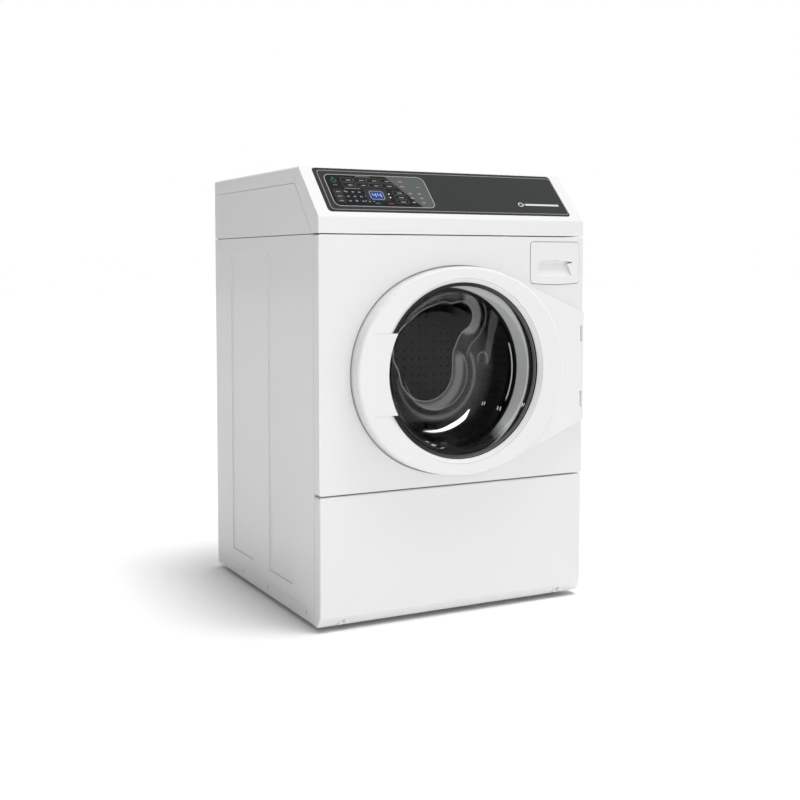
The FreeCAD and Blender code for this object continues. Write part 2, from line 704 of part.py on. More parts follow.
node("display_window", slope_box("display_window", *window, "-0.4", "0.6"))
node("console_badge", join("console_badge",
                           slope_box("badge_bar", *badge_bar, "overlay_proud",
                                     "overlay_proud+0.5"),
                           cut("badge_ring",
                               slope_rod("badge_disc", "188", "51", "overlay_proud",
                                         "overlay_proud+0.5", "7"),
                               slope_rod("badge_eye", "188", "51", "-1", "4", "4.6")),
                           slope_box("badge_tail", "194", "202", "50", "52", "overlay_proud",
                                     "overlay_proud+0.5")))
for name, x0, x1, s0, s1 in keys:
    node(name, slope_box(name, x0, x1, s0, s1, "-6", "key_proud"))
board = slope_box("board_sheet", "-300", "-40", "20", "140", "-12", "-10.4")
posts = [slope_rod("board_post", x, s, "-10.4", "-3", "3") for x in ("-294", "-46")
         for s in ("26", "134")]
chips = [slope_box("board_display", "-206", "-154", "52", "88", "-10.4", "-4"),
         slope_box("board_relay", "-110", "-80", "60", "90", "-26", "-12"),
         slope_box("board_chip", "-240", "-220", "70", "90", "-14.5", "-12")]
node("control_board", join("control_board", board, *posts, *chips))

# Door: hollow ring with an oval rim, a flare towards the hinge side and a hinge barrel
barrel_low, barrel_high = "flare_level-flare_half", "flare_level+flare_half"
ring_oval = oval_prism("ring_oval", "oval_width-door_gap", "oval_height-door_gap",
                       "oval_side-door_gap", "door_front", "door_back", "door_round")
flare_plan = prism_y(
    "flare_plan",
    [("flare_start", "axis_level+flare_rise"), ("pivot_x", barrel_high),
     ("pivot_x", barrel_low), ("flare_start", "axis_level-flare_rise")],
    "door_front-1", "panel_face-0.3")
flare_slope = prism_z(
    "flare_slope",
    [("flare_start-12", "panel_face-0.3"), ("flare_start-12", "door_front+1.5"),
     ("flare_start", "door_front+1.5"), ("pivot_x", "pivot_y-pivot_radius"),
     ("pivot_x", "panel_face-0.3")],
    "axis_level-oval_height", "axis_level+oval_height")
barrel = rod_z("barrel", "pivot_x", "pivot_y", barrel_low, barrel_high, "pivot_radius")
ring_solid = join("ring_solid", ring_oval, overlap("flare", flare_plan, flare_slope), barrel)
ring_bore = rod_y("ring_bore", "0", "axis_level", "door_front-9", "door_back+9",
                  "opening_radius")
bore_wall = rod_y("bore_wall", "0", "axis_level", "door_front-9", "door_back+9",
                  "opening_radius+door_wall")
ring_void = oval_prism("ring_void", "oval_width-door_gap-door_wall",
                       "oval_height-door_gap-door_wall", "oval_side-door_gap-door_wall",
                       "door_front+door_wall", "door_back+5")
flare_void_plan = prism_y(
    "flare_void_plan",
    [("flare_start", "axis_level+flare_rise-6"), ("pivot_x-6", f"{barrel_high}-5"),
     ("pivot_x-6", f"{barrel_low}+5"), ("flare_start", "axis_level-flare_rise+6")],
    "door_front-1", "panel_face+5")
flare_void_slope = prism_z(
    "flare_void_slope",
    [("flare_start-12", "panel_face+5"), ("flare_start-12", "door_front+5.5"),
     ("flare_start", "door_front+5.5"), ("pivot_x-6", "pivot_y-pivot_radius+3"),
     ("pivot_x-6", "panel_face+5")],
    "axis_level-oval_height", "axis_level+oval_height")
door_void = cut("door_void",
                join("void_solid", ring_void,
                     overlap("flare_void", flare_void_plan, flare_void_slope)),
                bore_wall)
stations = [("axis_level-98", "axis_level-98+knuckle_length"),
            ("axis_level+57", "axis_level+57+knuckle_length")]
notches = [box("hinge_notch", "pivot_x-8", "half_width+5", "panel_face-30", "panel_face+5",
               f"{low}-0.4", f"{high}+0.4") for low, high in stations]
pin_bore = rod_z("pin_bore", "pivot_x", "pivot_y", "axis_level-124", "axis_level+121",
                 "pin_radius+0.05")
handle_seat = prism_z(
    "handle_seat",
    [("41-oval_width", "door_front-5"), ("119-oval_width", "door_front-5"),
     ("119-oval_width", "handle_front+9.2"), ("41-oval_width", "handle_front+9.2")],
    "axis_level-89.3", "axis_level+89.3")
node("door_ring", cut("door_ring", ring_solid, ring_bore, door_void, *notches, pin_bore,
                      handle_seat))
handle_plate = prism_z(
    "handle_plate",
    [("41-oval_width", "door_front"), ("99-oval_width", "handle_front"),
     ("119-oval_width", "handle_front"), ("119-oval_width", "handle_front+9"),
     ("41-oval_width", "handle_front+9")],
    "axis_level-89", "axis_level+89")
node("door_handle", cut("door_handle", handle_plate,
                        rod_y("handle_arc", "0", "axis_level", "door_front-9", "door_back",
                              "opening_radius-15.5")))
node("door_bezel", turned("door_bezel", [
    ("opening_radius-0.3", "door_front+9.5"), ("opening_radius-0.3", "panel_face-16.7"),
    ("opening_radius-17.5", "panel_face-16.7"), ("opening_radius-17.5", "panel_face-19"),
    ("opening_radius-4", "panel_face-20.5"), ("opening_radius-2.8", "door_front+9.5")]))
node("door_glass", turned("door_glass", [
    ("mouth_radius", "panel_face-16.5"), ("mouth_radius", "panel_face-11.5"),
    ("mouth_radius-23", "panel_face-9.5"), ("mouth_radius-31", "panel_face+16.5"),
    ("mouth_radius-43", "panel_face+66.5"), ("mouth_radius-53", "panel_face+90"),
    ("mouth_radius-71", "panel_face+104"), ("mouth_radius-103", "panel_face+111"),
    ("0", "panel_face+114"), ("0", "panel_face+109"), ("mouth_radius-104", "panel_face+106"),
    ("mouth_radius-74", "panel_face+99.5"), ("mouth_radius-57.5", "panel_face+87"),
    ("mouth_radius-48", "panel_face+65.5"), ("mouth_radius-36", "panel_face+15.5"),
    ("mouth_radius-27", "panel_face-14.5")]))
node("door_back_ring", turned("door_back_ring", [
    ("opening_radius-24", "panel_face-8.9"), ("opening_radius-0.3", "panel_face-8.9"),
    ("opening_radius-0.3", "panel_face+4"), ("opening_radius-11.5", "panel_face+4"),
    ("opening_radius-24", "panel_face-1.5")]))
node("door_strike", join(
    "door_strike",
    box("strike_base", "8-oval_width", "57.3-oval_width", "door_back-3", "door_back",
        "axis_level-20", "axis_level+20"),
    box("strike_tongue", "19-oval_width", "29-oval_width", "door_back-3",
        "door_back+17.5", "axis_level-12", "axis_level+12")))

# Fixed half of the hinge and its pin
knuckles = [join("knuckle",
                 rod_z("knuckle_barrel", "pivot_x", "pivot_y", low, high, "pivot_radius"),
                 box("knuckle_leaf", "pivot_x-40", "pivot_x", "panel_face-1.8", "panel_face",
                     low, high)) for low, high in stations]
bracket_bores = [rod_z("bracket_bore", "pivot_x", "pivot_y", f"{low}-1", f"{high}+1",
                       "pin_radius+0.02") for low, high in stations]
node("hinge_brackets", group("hinge_brackets", *[
    cut("hinge_bracket", knuckle, bore) for knuckle, bore in zip(knuckles, bracket_bores)]))
node("hinge_pin", rod_z("hinge_pin", "pivot_x", "pivot_y", "axis_level-122",
                        "axis_level+119", "pin_radius"))
node("door_lock", cut(
    "door_lock",
    box("lock_case", "7-oval_width", "43-oval_width", "recess_floor+1.3",
        "recess_floor+19.5", "axis_level-45", "axis_level+45"),
    box("lock_slot", "14-oval_width", "34-oval_width", "recess_floor-5",
        "recess_floor+18", "axis_level-15", "axis_level+15")))

# Gasket between the cabinet mouth and the tub neck, with its two clamp rings
node("gasket", turned("gasket", [
    ("mouth_radius-0.3", "panel_face+5.5"), ("mouth_radius-0.3", "panel_face+26.3"),
    ("mouth_radius+8", "panel_face+31.5"), ("mouth_radius+8", "panel_face+33.9"),
    ("mouth_radius-7.5", "tub_front_face-27"), ("mouth_radius+4.6", "tub_front_face-20.2"),
    ("mouth_radius+4.6", "tub_front_face-3"), ("mouth_radius+1.3", "tub_front_face-3"),
    ("mouth_radius+1.3", "tub_front_face-18"), ("mouth_radius-13", "tub_front_face-26"),
    ("mouth_radius-13", "tub_front_face-28.6"), ("mouth_radius+3", "panel_face+32.3"),
    ("mouth_radius-3.6", "panel_face+27.9"), ("mouth_radius-3.6", "panel_face+16.5"),
    ("mouth_radius-27", "panel_face+10.5"), ("mouth_radius-27", "panel_face+7.5"),
    ("mouth_radius-3.6", "panel_face+5.5")]))
clamps = []
for place, ring_size, wire in (("tub_front_face-9", "mouth_radius+6.1", "1.4"),
                               ("panel_face+21", "mouth_radius-5", "1.3")):
    ring = doc.addObject("Part::Torus", "clamp_ring")
    ring.Placement.Rotation = FreeCAD.Rotation(FreeCAD.Vector(1, 0, 0), 90)
    clamps.append(drive(ring, y=place, z="axis_level", Radius1=ring_size, Radius2=wire))
node("gasket_clamps", group("gasket_clamps", *clamps))

# Outer tub in two halves, with damper lugs, spring ears, sump and bearing hub
lug_x = (("-lug_offset-10", "10-lug_offset"), ("lug_offset-10", "lug_offset+10"))


def lugs(front, back, low, high, spans):
    """Lugs on the tub skin, trimmed clear of the tub's inside."""
    blocks = [box("lug", x0, x1, front, back, low, high) for x0, x1 in spans]
    return cut("tub_lugs", join("lug_blocks", *blocks),
               rod_y("lug_trim", "0", "axis_level", "tub_front_face-9", "tub_rear_face+9",
                     "tub_radius-tub_wall/2"))


front_shell = turned("front_shell", [
    ("mouth_radius-3", "tub_front_face-15"), ("mouth_radius+1", "tub_front_face-15"),
    ("mouth_radius+1", "tub_front_face"), ("tub_radius", "tub_front_face"),
    ("tub_radius", "tub_split-5"), ("tub_radius+12", "tub_split-5"),
    ("tub_radius+12", "tub_split"), ("tub_radius-tub_wall", "tub_split"),
    ("tub_radius-tub_wall", "tub_front_face+tub_wall"),
    ("mouth_radius-3", "tub_front_face+tub_wall")])
fill_port = rod_z("fill_port", "225", "panel_face+226.5", "axis_level+120",
                  "axis_level+200", "11")
node("tub_front", cut("tub_front", join(
    "tub_front_solid", front_shell,
    lugs("panel_face+156.5", "panel_face+176.5", "lug_low", "lug_high", lug_x)),
    fill_port))
rear_shell = turned("rear_shell", [
    ("tub_radius-tub_wall", "tub_split+0.3"), ("tub_radius+12", "tub_split+0.3"),
    ("tub_radius+12", "tub_split+5"), ("tub_radius", "tub_split+5"),
    ("tub_radius", "tub_rear_face"), ("45", "tub_rear_face"), ("45", "tub_rear_face+41"),
    ("24", "tub_rear_face+41"), ("24", "tub_rear_face-15"), ("45", "tub_rear_face-15"),
    ("45", "tub_rear_face-tub_wall"), ("tub_radius-tub_wall", "tub_rear_face-tub_wall")])
sump = rod_z("sump", "0", "panel_face+336.5", "axis_level-tub_radius-12",
             "axis_level-tub_radius+2", "16.9")
rear_bores = [
    rod_y("front_seat", "0", "axis_level", "tub_rear_face-3", "tub_rear_face+14", "31"),
    rod_y("rear_seat", "0", "axis_level", "tub_rear_face+25", "tub_rear_face+42", "26"),
    rod_y("seal_seat", "0", "axis_level", "tub_rear_face-16", "tub_rear_face-5", "30"),
    rod_z("sump_bore", "0", "panel_face+336.5", "axis_level-tub_radius-20",
          "axis_level-tub_radius+20", "13"),
]
ear_x = (("-spring_offset-18", "17-spring_offset"), ("spring_offset-17", "spring_offset+18"))
node("tub_rear", cut("tub_rear", join(
    "tub_rear_solid", rear_shell, sump,
    lugs("panel_face+371.5", "panel_face+391.5", "lug_low", "lug_high", lug_x),
    lugs("panel_face+366.5", "panel_face+386.5", "ear_low", "ear_high", ear_x)),
    *rear_bores))

# Concrete weights: a saddle on top and two arcs round the tub neck
saddle = cut("saddle_weight",
             box("saddle", "-110", "110", "panel_face+270", "panel_face+425",
                 "axis_level+tub_radius-22", "axis_level+tub_radius+26"),
             rod_y("saddle_bed", "0", "axis_level", "tub_front_face", "tub_rear_face+9",
                   "tub_radius+0.2"))
weight_ring = turned("weight_ring", [
    ("mouth_radius+11", "tub_front_face-34"), ("mouth_radius+63", "tub_front_face-34"),
    ("mouth_radius+63", "tub_front_face-0.2"), ("mouth_radius+11", "tub_front_face-0.2")])
weight_gap = box("weight_gap", "-400", "400", "tub_front_face-50", "tub_front_face+9",
                 "axis_level-60", "axis_level+60")
node("counterweights", group("counterweights", saddle,
                             cut("neck_weights", weight_ring, weight_gap)))

# Bearings, shaft seal, drum, lifters, spider and pulley
node("bearings", group(
    "bearings",
    turned("front_bearing", [("shaft_radius+0.03", "tub_rear_face-3"),
                             ("30.98", "tub_rear_face-3"), ("30.98", "tub_rear_face+13"),
                             ("shaft_radius+0.03", "tub_rear_face+13")]),
    turned("rear_bearing", [("tail_radius+0.03", "tub_rear_face+25"),
                            ("25.98", "tub_rear_face+25"), ("25.98", "tub_rear_face+40"),
                            ("tail_radius+0.03", "tub_rear_face+40")])))
node("shaft_seal", turned("shaft_seal", [
    ("shaft_radius+0.4", "tub_rear_face-14.5"), ("29.9", "tub_rear_face-14.5"),
    ("29.9", "tub_rear_face-5.5"), ("shaft_radius+3", "tub_rear_face-5.5"),
    ("shaft_radius+3", "tub_rear_face-12"), ("shaft_radius+0.4", "tub_rear_face-12")]))
node("drum", turned("drum", [
    ("drum_mouth", "drum_front_face"), ("drum_radius", "drum_front_face"),
    ("drum_radius", "drum_rear_face"), ("0", "drum_rear_face"),
    ("0", "drum_rear_face-drum_wall"), ("drum_radius-drum_wall", "drum_rear_face-drum_wall"),
    ("drum_radius-drum_wall", "drum_front_face+drum_wall"),
    ("drum_mouth+drum_wall", "drum_front_face+drum_wall"),
    ("drum_mouth+drum_wall", "drum_front_face+9"), ("drum_mouth", "drum_front_face+9")]))


def spoke(label, angle, corners, front, back):
    """Prism along the drum axis, turned about it to its own angle."""
    body = prism_y(label, corners, front, back)
    body.Placement.Rotation = FreeCAD.Rotation(FreeCAD.Vector(0, 1, 0), angle)
    return drive(body, z="axis_level")


lifter_outline = [("-37", "drum_radius+5"), ("37", "drum_radius+5"),
                  ("11", "drum_radius-lifter_reach"), ("-11", "drum_radius-lifter_reach")]
lifters = [overlap("lifter",
                   spoke("fin", angle, lifter_outline, "drum_front_face+14",
                         "drum_rear_face-12"),
                   rod_y("lifter_bed", "0", "axis_level", "drum_front_face",
                         "drum_rear_face", "drum_radius-drum_wall-0.05"))
           for angle in (60, 180, 300)]
node("drum_lifters", group("drum_lifters", *lifters))
arm_outline = [("-20", "25"), ("20", "25"), ("14", "drum_radius-12"),
               ("-14", "drum_radius-12")]
arms = [spoke("spider_arm", angle, arm_outline, "drum_rear_face", "drum_rear_face+16")
        for angle in (0, 120, 240)]
node("spider_shaft", join(
    "spider_shaft",
    rod_y("spider_hub", "0", "axis_level", "drum_rear_face", "drum_rear_face+21", "42"),
    rod_y("shaft", "0", "axis_level", "drum_rear_face+10", "tub_rear_face+23",
          "shaft_radius"),
    rod_y("shaft_tail", "0", "axis_level", "tub_rear_face+20", "pulley_face-18",
          "tail_radius"),
    rod_y("pulley_seat", "0", "axis_level", "pulley_face-19", "pulley_face+22", "12"),
    rod_y("bolt_washer", "0", "axis_level", "pulley_face+22", "pulley_face+25", "18"),
    rod_y("bolt_head", "0", "axis_level", "pulley_face+25", "pulley_face+33", "10"),
    *arms))
wheel = turned("wheel", [
    ("12.02", "pulley_face-4"), ("28", "pulley_face-4"), ("28", "pulley_face+8"),
    ("pulley_radius-9", "pulley_face+8"), ("pulley_radius-9", "pulley_face"),
    ("pulley_radius", "pulley_face"), ("pulley_radius", "pulley_face+pulley_width"),
    ("pulley_radius-9", "pulley_face+pulley_width"), ("pulley_radius-9", "pulley_face+13"),
    ("28", "pulley_face+13"), ("28", "pulley_face+22"), ("12.02", "pulley_face+22")])
wheel_windows = [spoke("wheel_window", angle,
                       [("-24", "60"), ("24", "60"), ("44", "pulley_radius-20"),
                        ("-44", "pulley_radius-20")],
                       "pulley_face-9", "pulley_face+30") for angle in (0, 72, 144, 216, 288)]
node("drum_pulley", cut("drum_pulley", wheel, *wheel_windows))

# Motor under the tub, its bracket, pulley and the drive belt
motor_front, motor_back = "panel_face+386.5", "panel_face+531.5"
node("motor", cut(
    "motor",
    join("motor_solid",
         rod_y("motor_can", "0", "motor_level", "panel_face+394", "panel_face+524",
               "motor_radius"),
         rod_y("motor_cap", "0", "motor_level", motor_front, motor_back,
               "motor_radius-12")),
    rod_y("motor_bore", "0", "motor_level", "panel_face+505", "panel_face+540", "8.05")))
node("motor_pulley", join(
    "motor_pulley",
    rod_y("motor_shaft", "0", "motor_level", "panel_face+506", "pulley_face+22", "8"),
    rod_y("drive_pulley", "0", "motor_level", "pulley_face", "pulley_face+pulley_width",
          "motor_pulley_radius")))
node("motor_bracket", cut(
    "motor_bracket",
    box("bracket_block", "-75", "75", "panel_face+406.5", "panel_face+506.5",
        "motor_level+55", "axis_level-tub_radius+10"),
    rod_y("bracket_tub", "0", "axis_level", "tub_front_face", "tub_rear_face+9",
          "tub_radius+0.2"),
    rod_y("bracket_can", "0", "motor_level", motor_front, motor_back, "motor_radius+0.2")))


def belt_loop(label, gap, front, back):
    """Solid inside a belt line that stands a gap off both pulleys."""
    big, small = f"(pulley_radius+{gap})", f"(motor_pulley_radius+{gap})"
    quad = prism_y(label + "_span", [
        (f"{big}*belt_cosine", f"axis_level-{big}*belt_sine"),
        (f"{small}*belt_cosine", f"motor_level-{small}*belt_sine"),
        (f"-{small}*belt_cosine", f"motor_level-{small}*belt_sine"),
        (f"-{big}*belt_cosine", f"axis_level-{big}*belt_sine")], front, back)
    return join(label, quad,
                rod_y(label + "_big", "0", "axis_level", front, back, big),
                rod_y(label + "_small", "0", "motor_level", front, back, small))


node("drive_belt", cut(
    "drive_belt",
    belt_loop("belt_outside", "belt_gap+belt_gauge", "pulley_face+3", "pulley_face+17"),
    belt_loop("belt_inside", "belt_gap", "pulley_face", "pulley_face+20")))

# Suspension springs and damper struts
springs = []
for side in ("-spring_offset", "spring_offset"):
    coil = drive(new_body("spring_coil"), x=side, y="panel_face+376.5", z="ear_high+8")
    wire = new_sketch(coil, "XZ_Plane")
    wire.addGeometry(Part.Circle(FreeCAD.Vector(12, 0, 0), FreeCAD.Vector(0, 0, 1), 2))
    wire.addConstraint(Sketcher.Constraint("DistanceX", -1, 1, 0, 3, 12.0))
    wire.addConstraint(Sketcher.Constraint("PointOnObject", 0, 3, -1))
    wire.addConstraint(Sketcher.Constraint("Radius", 0, 2.0))
    turns = coil.newObject("PartDesign::AdditiveHelix", "turns")
    turns.Profile = wire
    turns.ReferenceAxis = (wire, ["V_Axis"])
    turns.Mode = 0
    turns.Pitch = 6
    turns.Height = 72
    ends = [
        rod_z("spring_cap", side, "panel_face+376.5", "ear_high+5", "ear_high+8.5", "13"),
        rod_z("spring_foot", side, "panel_face+376.5", "ear_high", "ear_high+6", "3"),
        rod_z("spring_crown", side, "panel_face+376.5", "ear_high+79.5", "ear_high+83",
              "13"),
        rod_z("spring_eye", side, "panel_face+376.5", "ear_high+82", "seam_level+7", "2"),
        rod_z("spring_head", side, "panel_face+376.5", "seam_level+2.9", "seam_level+7", "6"),
    ]
    springs.append(join("spring", coil, *ends))
node("suspension_springs", group("suspension_springs", *springs))
struts = []
for x in ("-lug_offset", "lug_offset"):
    for y in ("panel_face+166.5", "panel_face+381.5"):
        struts.append(cut("strut_tube",
                          rod_z("strut_body", x, y, "base_top-4", "base_top+134", "16"),
                          rod_z("strut_bore", x, y, "base_top+24", "base_top+140", "7")))
        struts.append(rod_z("strut_rod", x, y, "base_top+24", "lug_low", "6"))
node("damper_struts", group("damper_struts", *struts))

# Dispenser: drawer front with pull recess, tray, and the housing behind the panel
front_block = drawer_block("front_block", "0", "panel_face-1", "panel_face+13")
pull_outline = prism_y(
    "pull_outline",
    [("drawer_left+23", "drawer_low+44"), ("drawer_left+103", "drawer_low+44"),
     ("drawer_left+117", "drawer_low+12"), ("drawer_left+18", "drawer_low+12")],
    "panel_face-9", "panel_face+20")
pull_ramp = prism_x(
    "pull_ramp",
    [("panel_face-1.5", "drawer_low+12"), ("panel_face+8", "drawer_low+44"),
     ("panel_face-9", "drawer_low+44"), ("panel_face-9", "drawer_low+12")],
    "drawer_left", "drawer_right")
slit = prism_y(
    "pull_slit",
    [("drawer_left+23", "drawer_low+43.5"), ("drawer_left+103", "drawer_low+43.5"),
     ("drawer_left+119", "drawer_low+48"), ("drawer_left+71", "drawer_low+54"),
     ("drawer_left+26", "drawer_low+50")],
    "panel_face-9", "panel_face+8.5")
node("drawer_front", cut("drawer_front", front_block,
                         overlap("pull_recess", pull_outline, pull_ramp), slit))
tray_back = "panel_face+13+drawer_length"
node("drawer_tray", cut(
    "drawer_tray",
    box("tray_block", "drawer_left+13", "drawer_right-11", "panel_face+13", tray_back,
        "drawer_low+19", "drawer_high-14"),
    box("tray_main", "drawer_left+16", "drawer_left+77", "panel_face+18",
        f"{tray_back}-3", "drawer_low+22", "drawer_high"),
    box("tray_bleach", "drawer_left+80", "drawer_right-14", "panel_face+18",
        "panel_face+122", "drawer_low+22", "drawer_high"),
    box("tray_softener", "drawer_left+80", "drawer_right-14", "panel_face+125",
        f"{tray_back}-3", "drawer_low+22", "drawer_high")))
housing_back = "panel_face+28+drawer_length"
mouth = box("housing_mouth", "drawer_left-6", "drawer_right+6",
            "panel_face+sheet_gauge+0.1", "panel_face+17.5", "drawer_low-10",
            "drawer_high+6")
mouth_void = box("mouth_void", "drawer_left-3", "drawer_right+3", "panel_face",
                 "panel_face+15.5", "drawer_low-7", "drawer_high+3")
chest = box("housing_chest", "drawer_left+7", "drawer_right-5", "panel_face+15.5",
            housing_back, "drawer_low+11", "drawer_high-4")
chest_void = box("chest_void", "drawer_left+9.5", "drawer_right-7.5", "panel_face+10",
                 f"{housing_back}-2.5", "drawer_low+13.5", "drawer_high-6.5")
fill_bore = rod_z("fill_bore", "225", "panel_face+226.5", "drawer_low", "drawer_low+20",
                  "11")
inlet_bore = rod_z("inlet_bore", "262", "panel_face+236.5", "drawer_high-9",
                   "drawer_high+5", "5.5")
node("dispenser_housing", cut("dispenser_housing", join("housing_solid", mouth, chest),
                              mouth_void, chest_void, fill_bore, inlet_bore))

# Water side: inlet valve, fill hoses, drain pump with impeller, sump and drain hoses
valve_bores = [rod_y("valve_bore", x, z, "rear_face+2", "rear_face+20", "9")
               for x, z in inlets]
spigots = [rod_y("valve_spigot", x, z, "rear_face-8", "rear_face+13.5", "hose_thread")
           for x, z in inlets]
coils = [rod_z("valve_coil", x, "rear_face-24", "valve_level+20", "valve_level+44", "15")
         for x, z in inlets]
node("inlet_valve", cut(
    "inlet_valve",
    join("valve_solid",
         box("valve_block", "-252", "-158", "rear_face-42", "rear_face-sheet_gauge-0.1",
             "valve_level-22", "valve_level+22"), *spigots, *coils),
    *valve_bores))
inlet_hose = hose("inlet_hose", [
    ("y", "-205", "valve_level", "panel_face+236.5", "rear_face-42"),
    ("x", "panel_face+236.5", "valve_level", "-205", "262"),
    ("z", "262", "panel_face+236.5", "drawer_high-4", "valve_level")],
    [("-205", "panel_face+236.5", "valve_level"), ("262", "panel_face+236.5", "valve_level")],
    "8", "5.5")
fill_pipe = rod_z("fill_pipe", "225", "panel_face+226.5", "axis_level+140", "drawer_low+11",
                  "14")
fill_hose = cut("fill_hose", fill_pipe,
                rod_y("fill_trim", "0", "axis_level", "tub_front_face", "tub_rear_face",
                      "tub_radius+0.2"),
                rod_z("fill_inside", "225", "panel_face+226.5", "axis_level+100",
                      "drawer_low+20", "11"))
node("water_hoses", group("water_hoses", inlet_hose, fill_hose))
pump_z = "base_top+54"
pump_solid = join(
    "pump_solid",
    rod_y("pump_volute", "-200", pump_z, "panel_face+36.5", "panel_face+80.5", "40"),
    rod_y("pump_motor", "-200", pump_z, "panel_face+80.5", "panel_face+148", "30"),
    rod_x("pump_inlet", "panel_face+58.5", pump_z, "-185", "-140", "16.9"),
    rod_z("pump_outlet", "-215", "panel_face+58.5", "base_top+74", "base_top+119", "9.9"),
    box("pump_foot", "-230", "-170", "panel_face+37", "panel_face+73", "base_top",
        "base_top+24"))
pump_voids = [
    rod_y("volute_void", "-200", pump_z, "panel_face+39.5", "panel_face+77.5", "36"),
    rod_x("inlet_void", "panel_face+58.5", pump_z, "-185", "-139", "13"),
    rod_z("outlet_void", "-215", "panel_face+58.5", "base_top+74", "base_top+120", "7"),
    rod_y("pump_shaft_void", "-200", pump_z, "panel_face+76", "panel_face+100", "4.05"),
]
node("drain_pump", cut("drain_pump", pump_solid, *pump_voids))
vanes = [box("vane", "-230", "-170", "panel_face+46", "panel_face+66", f"{pump_z}-1.2",
             f"{pump_z}+1.2"),
         box("vane", "-201.2", "-198.8", "panel_face+46", "panel_face+66", f"{pump_z}-30",
             f"{pump_z}+30")]
node("pump_impeller", join(
    "pump_impeller", *vanes,
    rod_y("impeller_hub", "-200", pump_z, "panel_face+44", "panel_face+72", "8"),
    rod_y("impeller_shaft", "-200", pump_z, "panel_face+70", "panel_face+98", "4")))
node("sump_hose", hose("sump_hose", [
    ("z", "0", "panel_face+336.5", pump_z, "axis_level-tub_radius-1"),
    ("y", "0", pump_z, "panel_face+58.5", "panel_face+336.5"),
    ("x", "panel_face+58.5", pump_z, "-159.8", "0")],
    [("0", "panel_face+336.5", pump_z), ("0", "panel_face+58.5", pump_z)], "20", "17"))
node("drain_hose", hose("drain_hose", [
    ("z", "-215", "panel_face+58.5", "base_top+96", "base_top+144"),
    ("x", "panel_face+58.5", "base_top+144", drain_x, "-215"),
    ("y", drain_x, "base_top+144", "panel_face+58.5", "rear_face-40"),
    ("z", drain_x, "rear_face-40", "base_top+144", drain_z),
    ("y", drain_x, drain_z, "rear_face-40", "rear_face+13.5")],
    [("-215", "panel_face+58.5", "base_top+144"), (drain_x, "panel_face+58.5", "base_top+144"),
     (drain_x, "rear_face-40", "base_top+144"), (drain_x, "rear_face-40", drain_z)],
    "12", "10"))

# Power side: motor controller on the base, cable gland in the rear panel
node("motor_controller", cut(
    "motor_controller",
    box("controller_case", "190", "320", "panel_face+530", "rear_face-10", "base_top",
        "base_top+70"),
    box("controller_void", "193", "317", "panel_face+533", "rear_face-13", "base_top+3",
        "base_top+67")))
node("mains_gland", cut(
    "mains_gland",
    join("gland_solid",
         rod_y("gland_body", gland_x, gland_z, "rear_face-12", "rear_face+12", "10"),
         rod_y("gland_flange", gland_x, gland_z, "rear_face", "rear_face+4", "14")),
    rod_y("gland_bore", gland_x, gland_z, "rear_face-20", "rear_face+20", "4")))

# Check every feature, then write one file for each sub-part
doc.recompute()
for obj in doc.Objects:
    if "Invalid" in obj.State or "Error" in obj.State:
        raise RuntimeError(f"{obj.Label} did not compute")
os.makedirs("parts", exist_ok=True)
for name, obj in nodes:
    if obj.Shape.isNull() or not obj.Shape.isValid():
        raise RuntimeError(f"{name} has a bad shape")
    obj.Shape.exportStep(f"parts/{name}.step")
    print(name, len(obj.Shape.Solids), round(obj.Shape.Volume))
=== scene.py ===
# %% [markdown]
# # A front-load washer, finished in Blender
# The solid parts come from CAD and are loaded as they are. This file adds what a drawing
# cannot show: soft edges, glass, film, rubber, enamel and light.

# %% Load the solid parts
import json
import math

import bpy
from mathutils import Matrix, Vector


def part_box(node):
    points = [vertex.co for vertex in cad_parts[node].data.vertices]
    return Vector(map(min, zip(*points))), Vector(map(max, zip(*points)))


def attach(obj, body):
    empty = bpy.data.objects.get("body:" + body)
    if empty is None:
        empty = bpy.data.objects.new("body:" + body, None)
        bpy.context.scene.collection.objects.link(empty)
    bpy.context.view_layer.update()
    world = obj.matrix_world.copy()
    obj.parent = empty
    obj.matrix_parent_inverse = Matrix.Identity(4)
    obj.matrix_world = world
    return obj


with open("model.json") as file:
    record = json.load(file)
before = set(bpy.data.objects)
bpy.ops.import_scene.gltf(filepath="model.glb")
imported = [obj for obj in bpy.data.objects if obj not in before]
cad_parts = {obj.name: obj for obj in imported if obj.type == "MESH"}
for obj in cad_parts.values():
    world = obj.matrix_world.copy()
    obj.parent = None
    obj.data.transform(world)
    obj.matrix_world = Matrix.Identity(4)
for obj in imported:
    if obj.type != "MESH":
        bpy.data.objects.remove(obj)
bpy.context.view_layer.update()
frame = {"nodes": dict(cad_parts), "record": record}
parts = frame["nodes"]

# %% [markdown]
# ## Wires for material maths
# A material is a sheet of small nodes joined by wires. Writing the sums as plain
# expressions keeps them readable, so one small class wraps a wire and turns + - * / into
# Math nodes. A second class holds the sheet and adds any other node by its type.

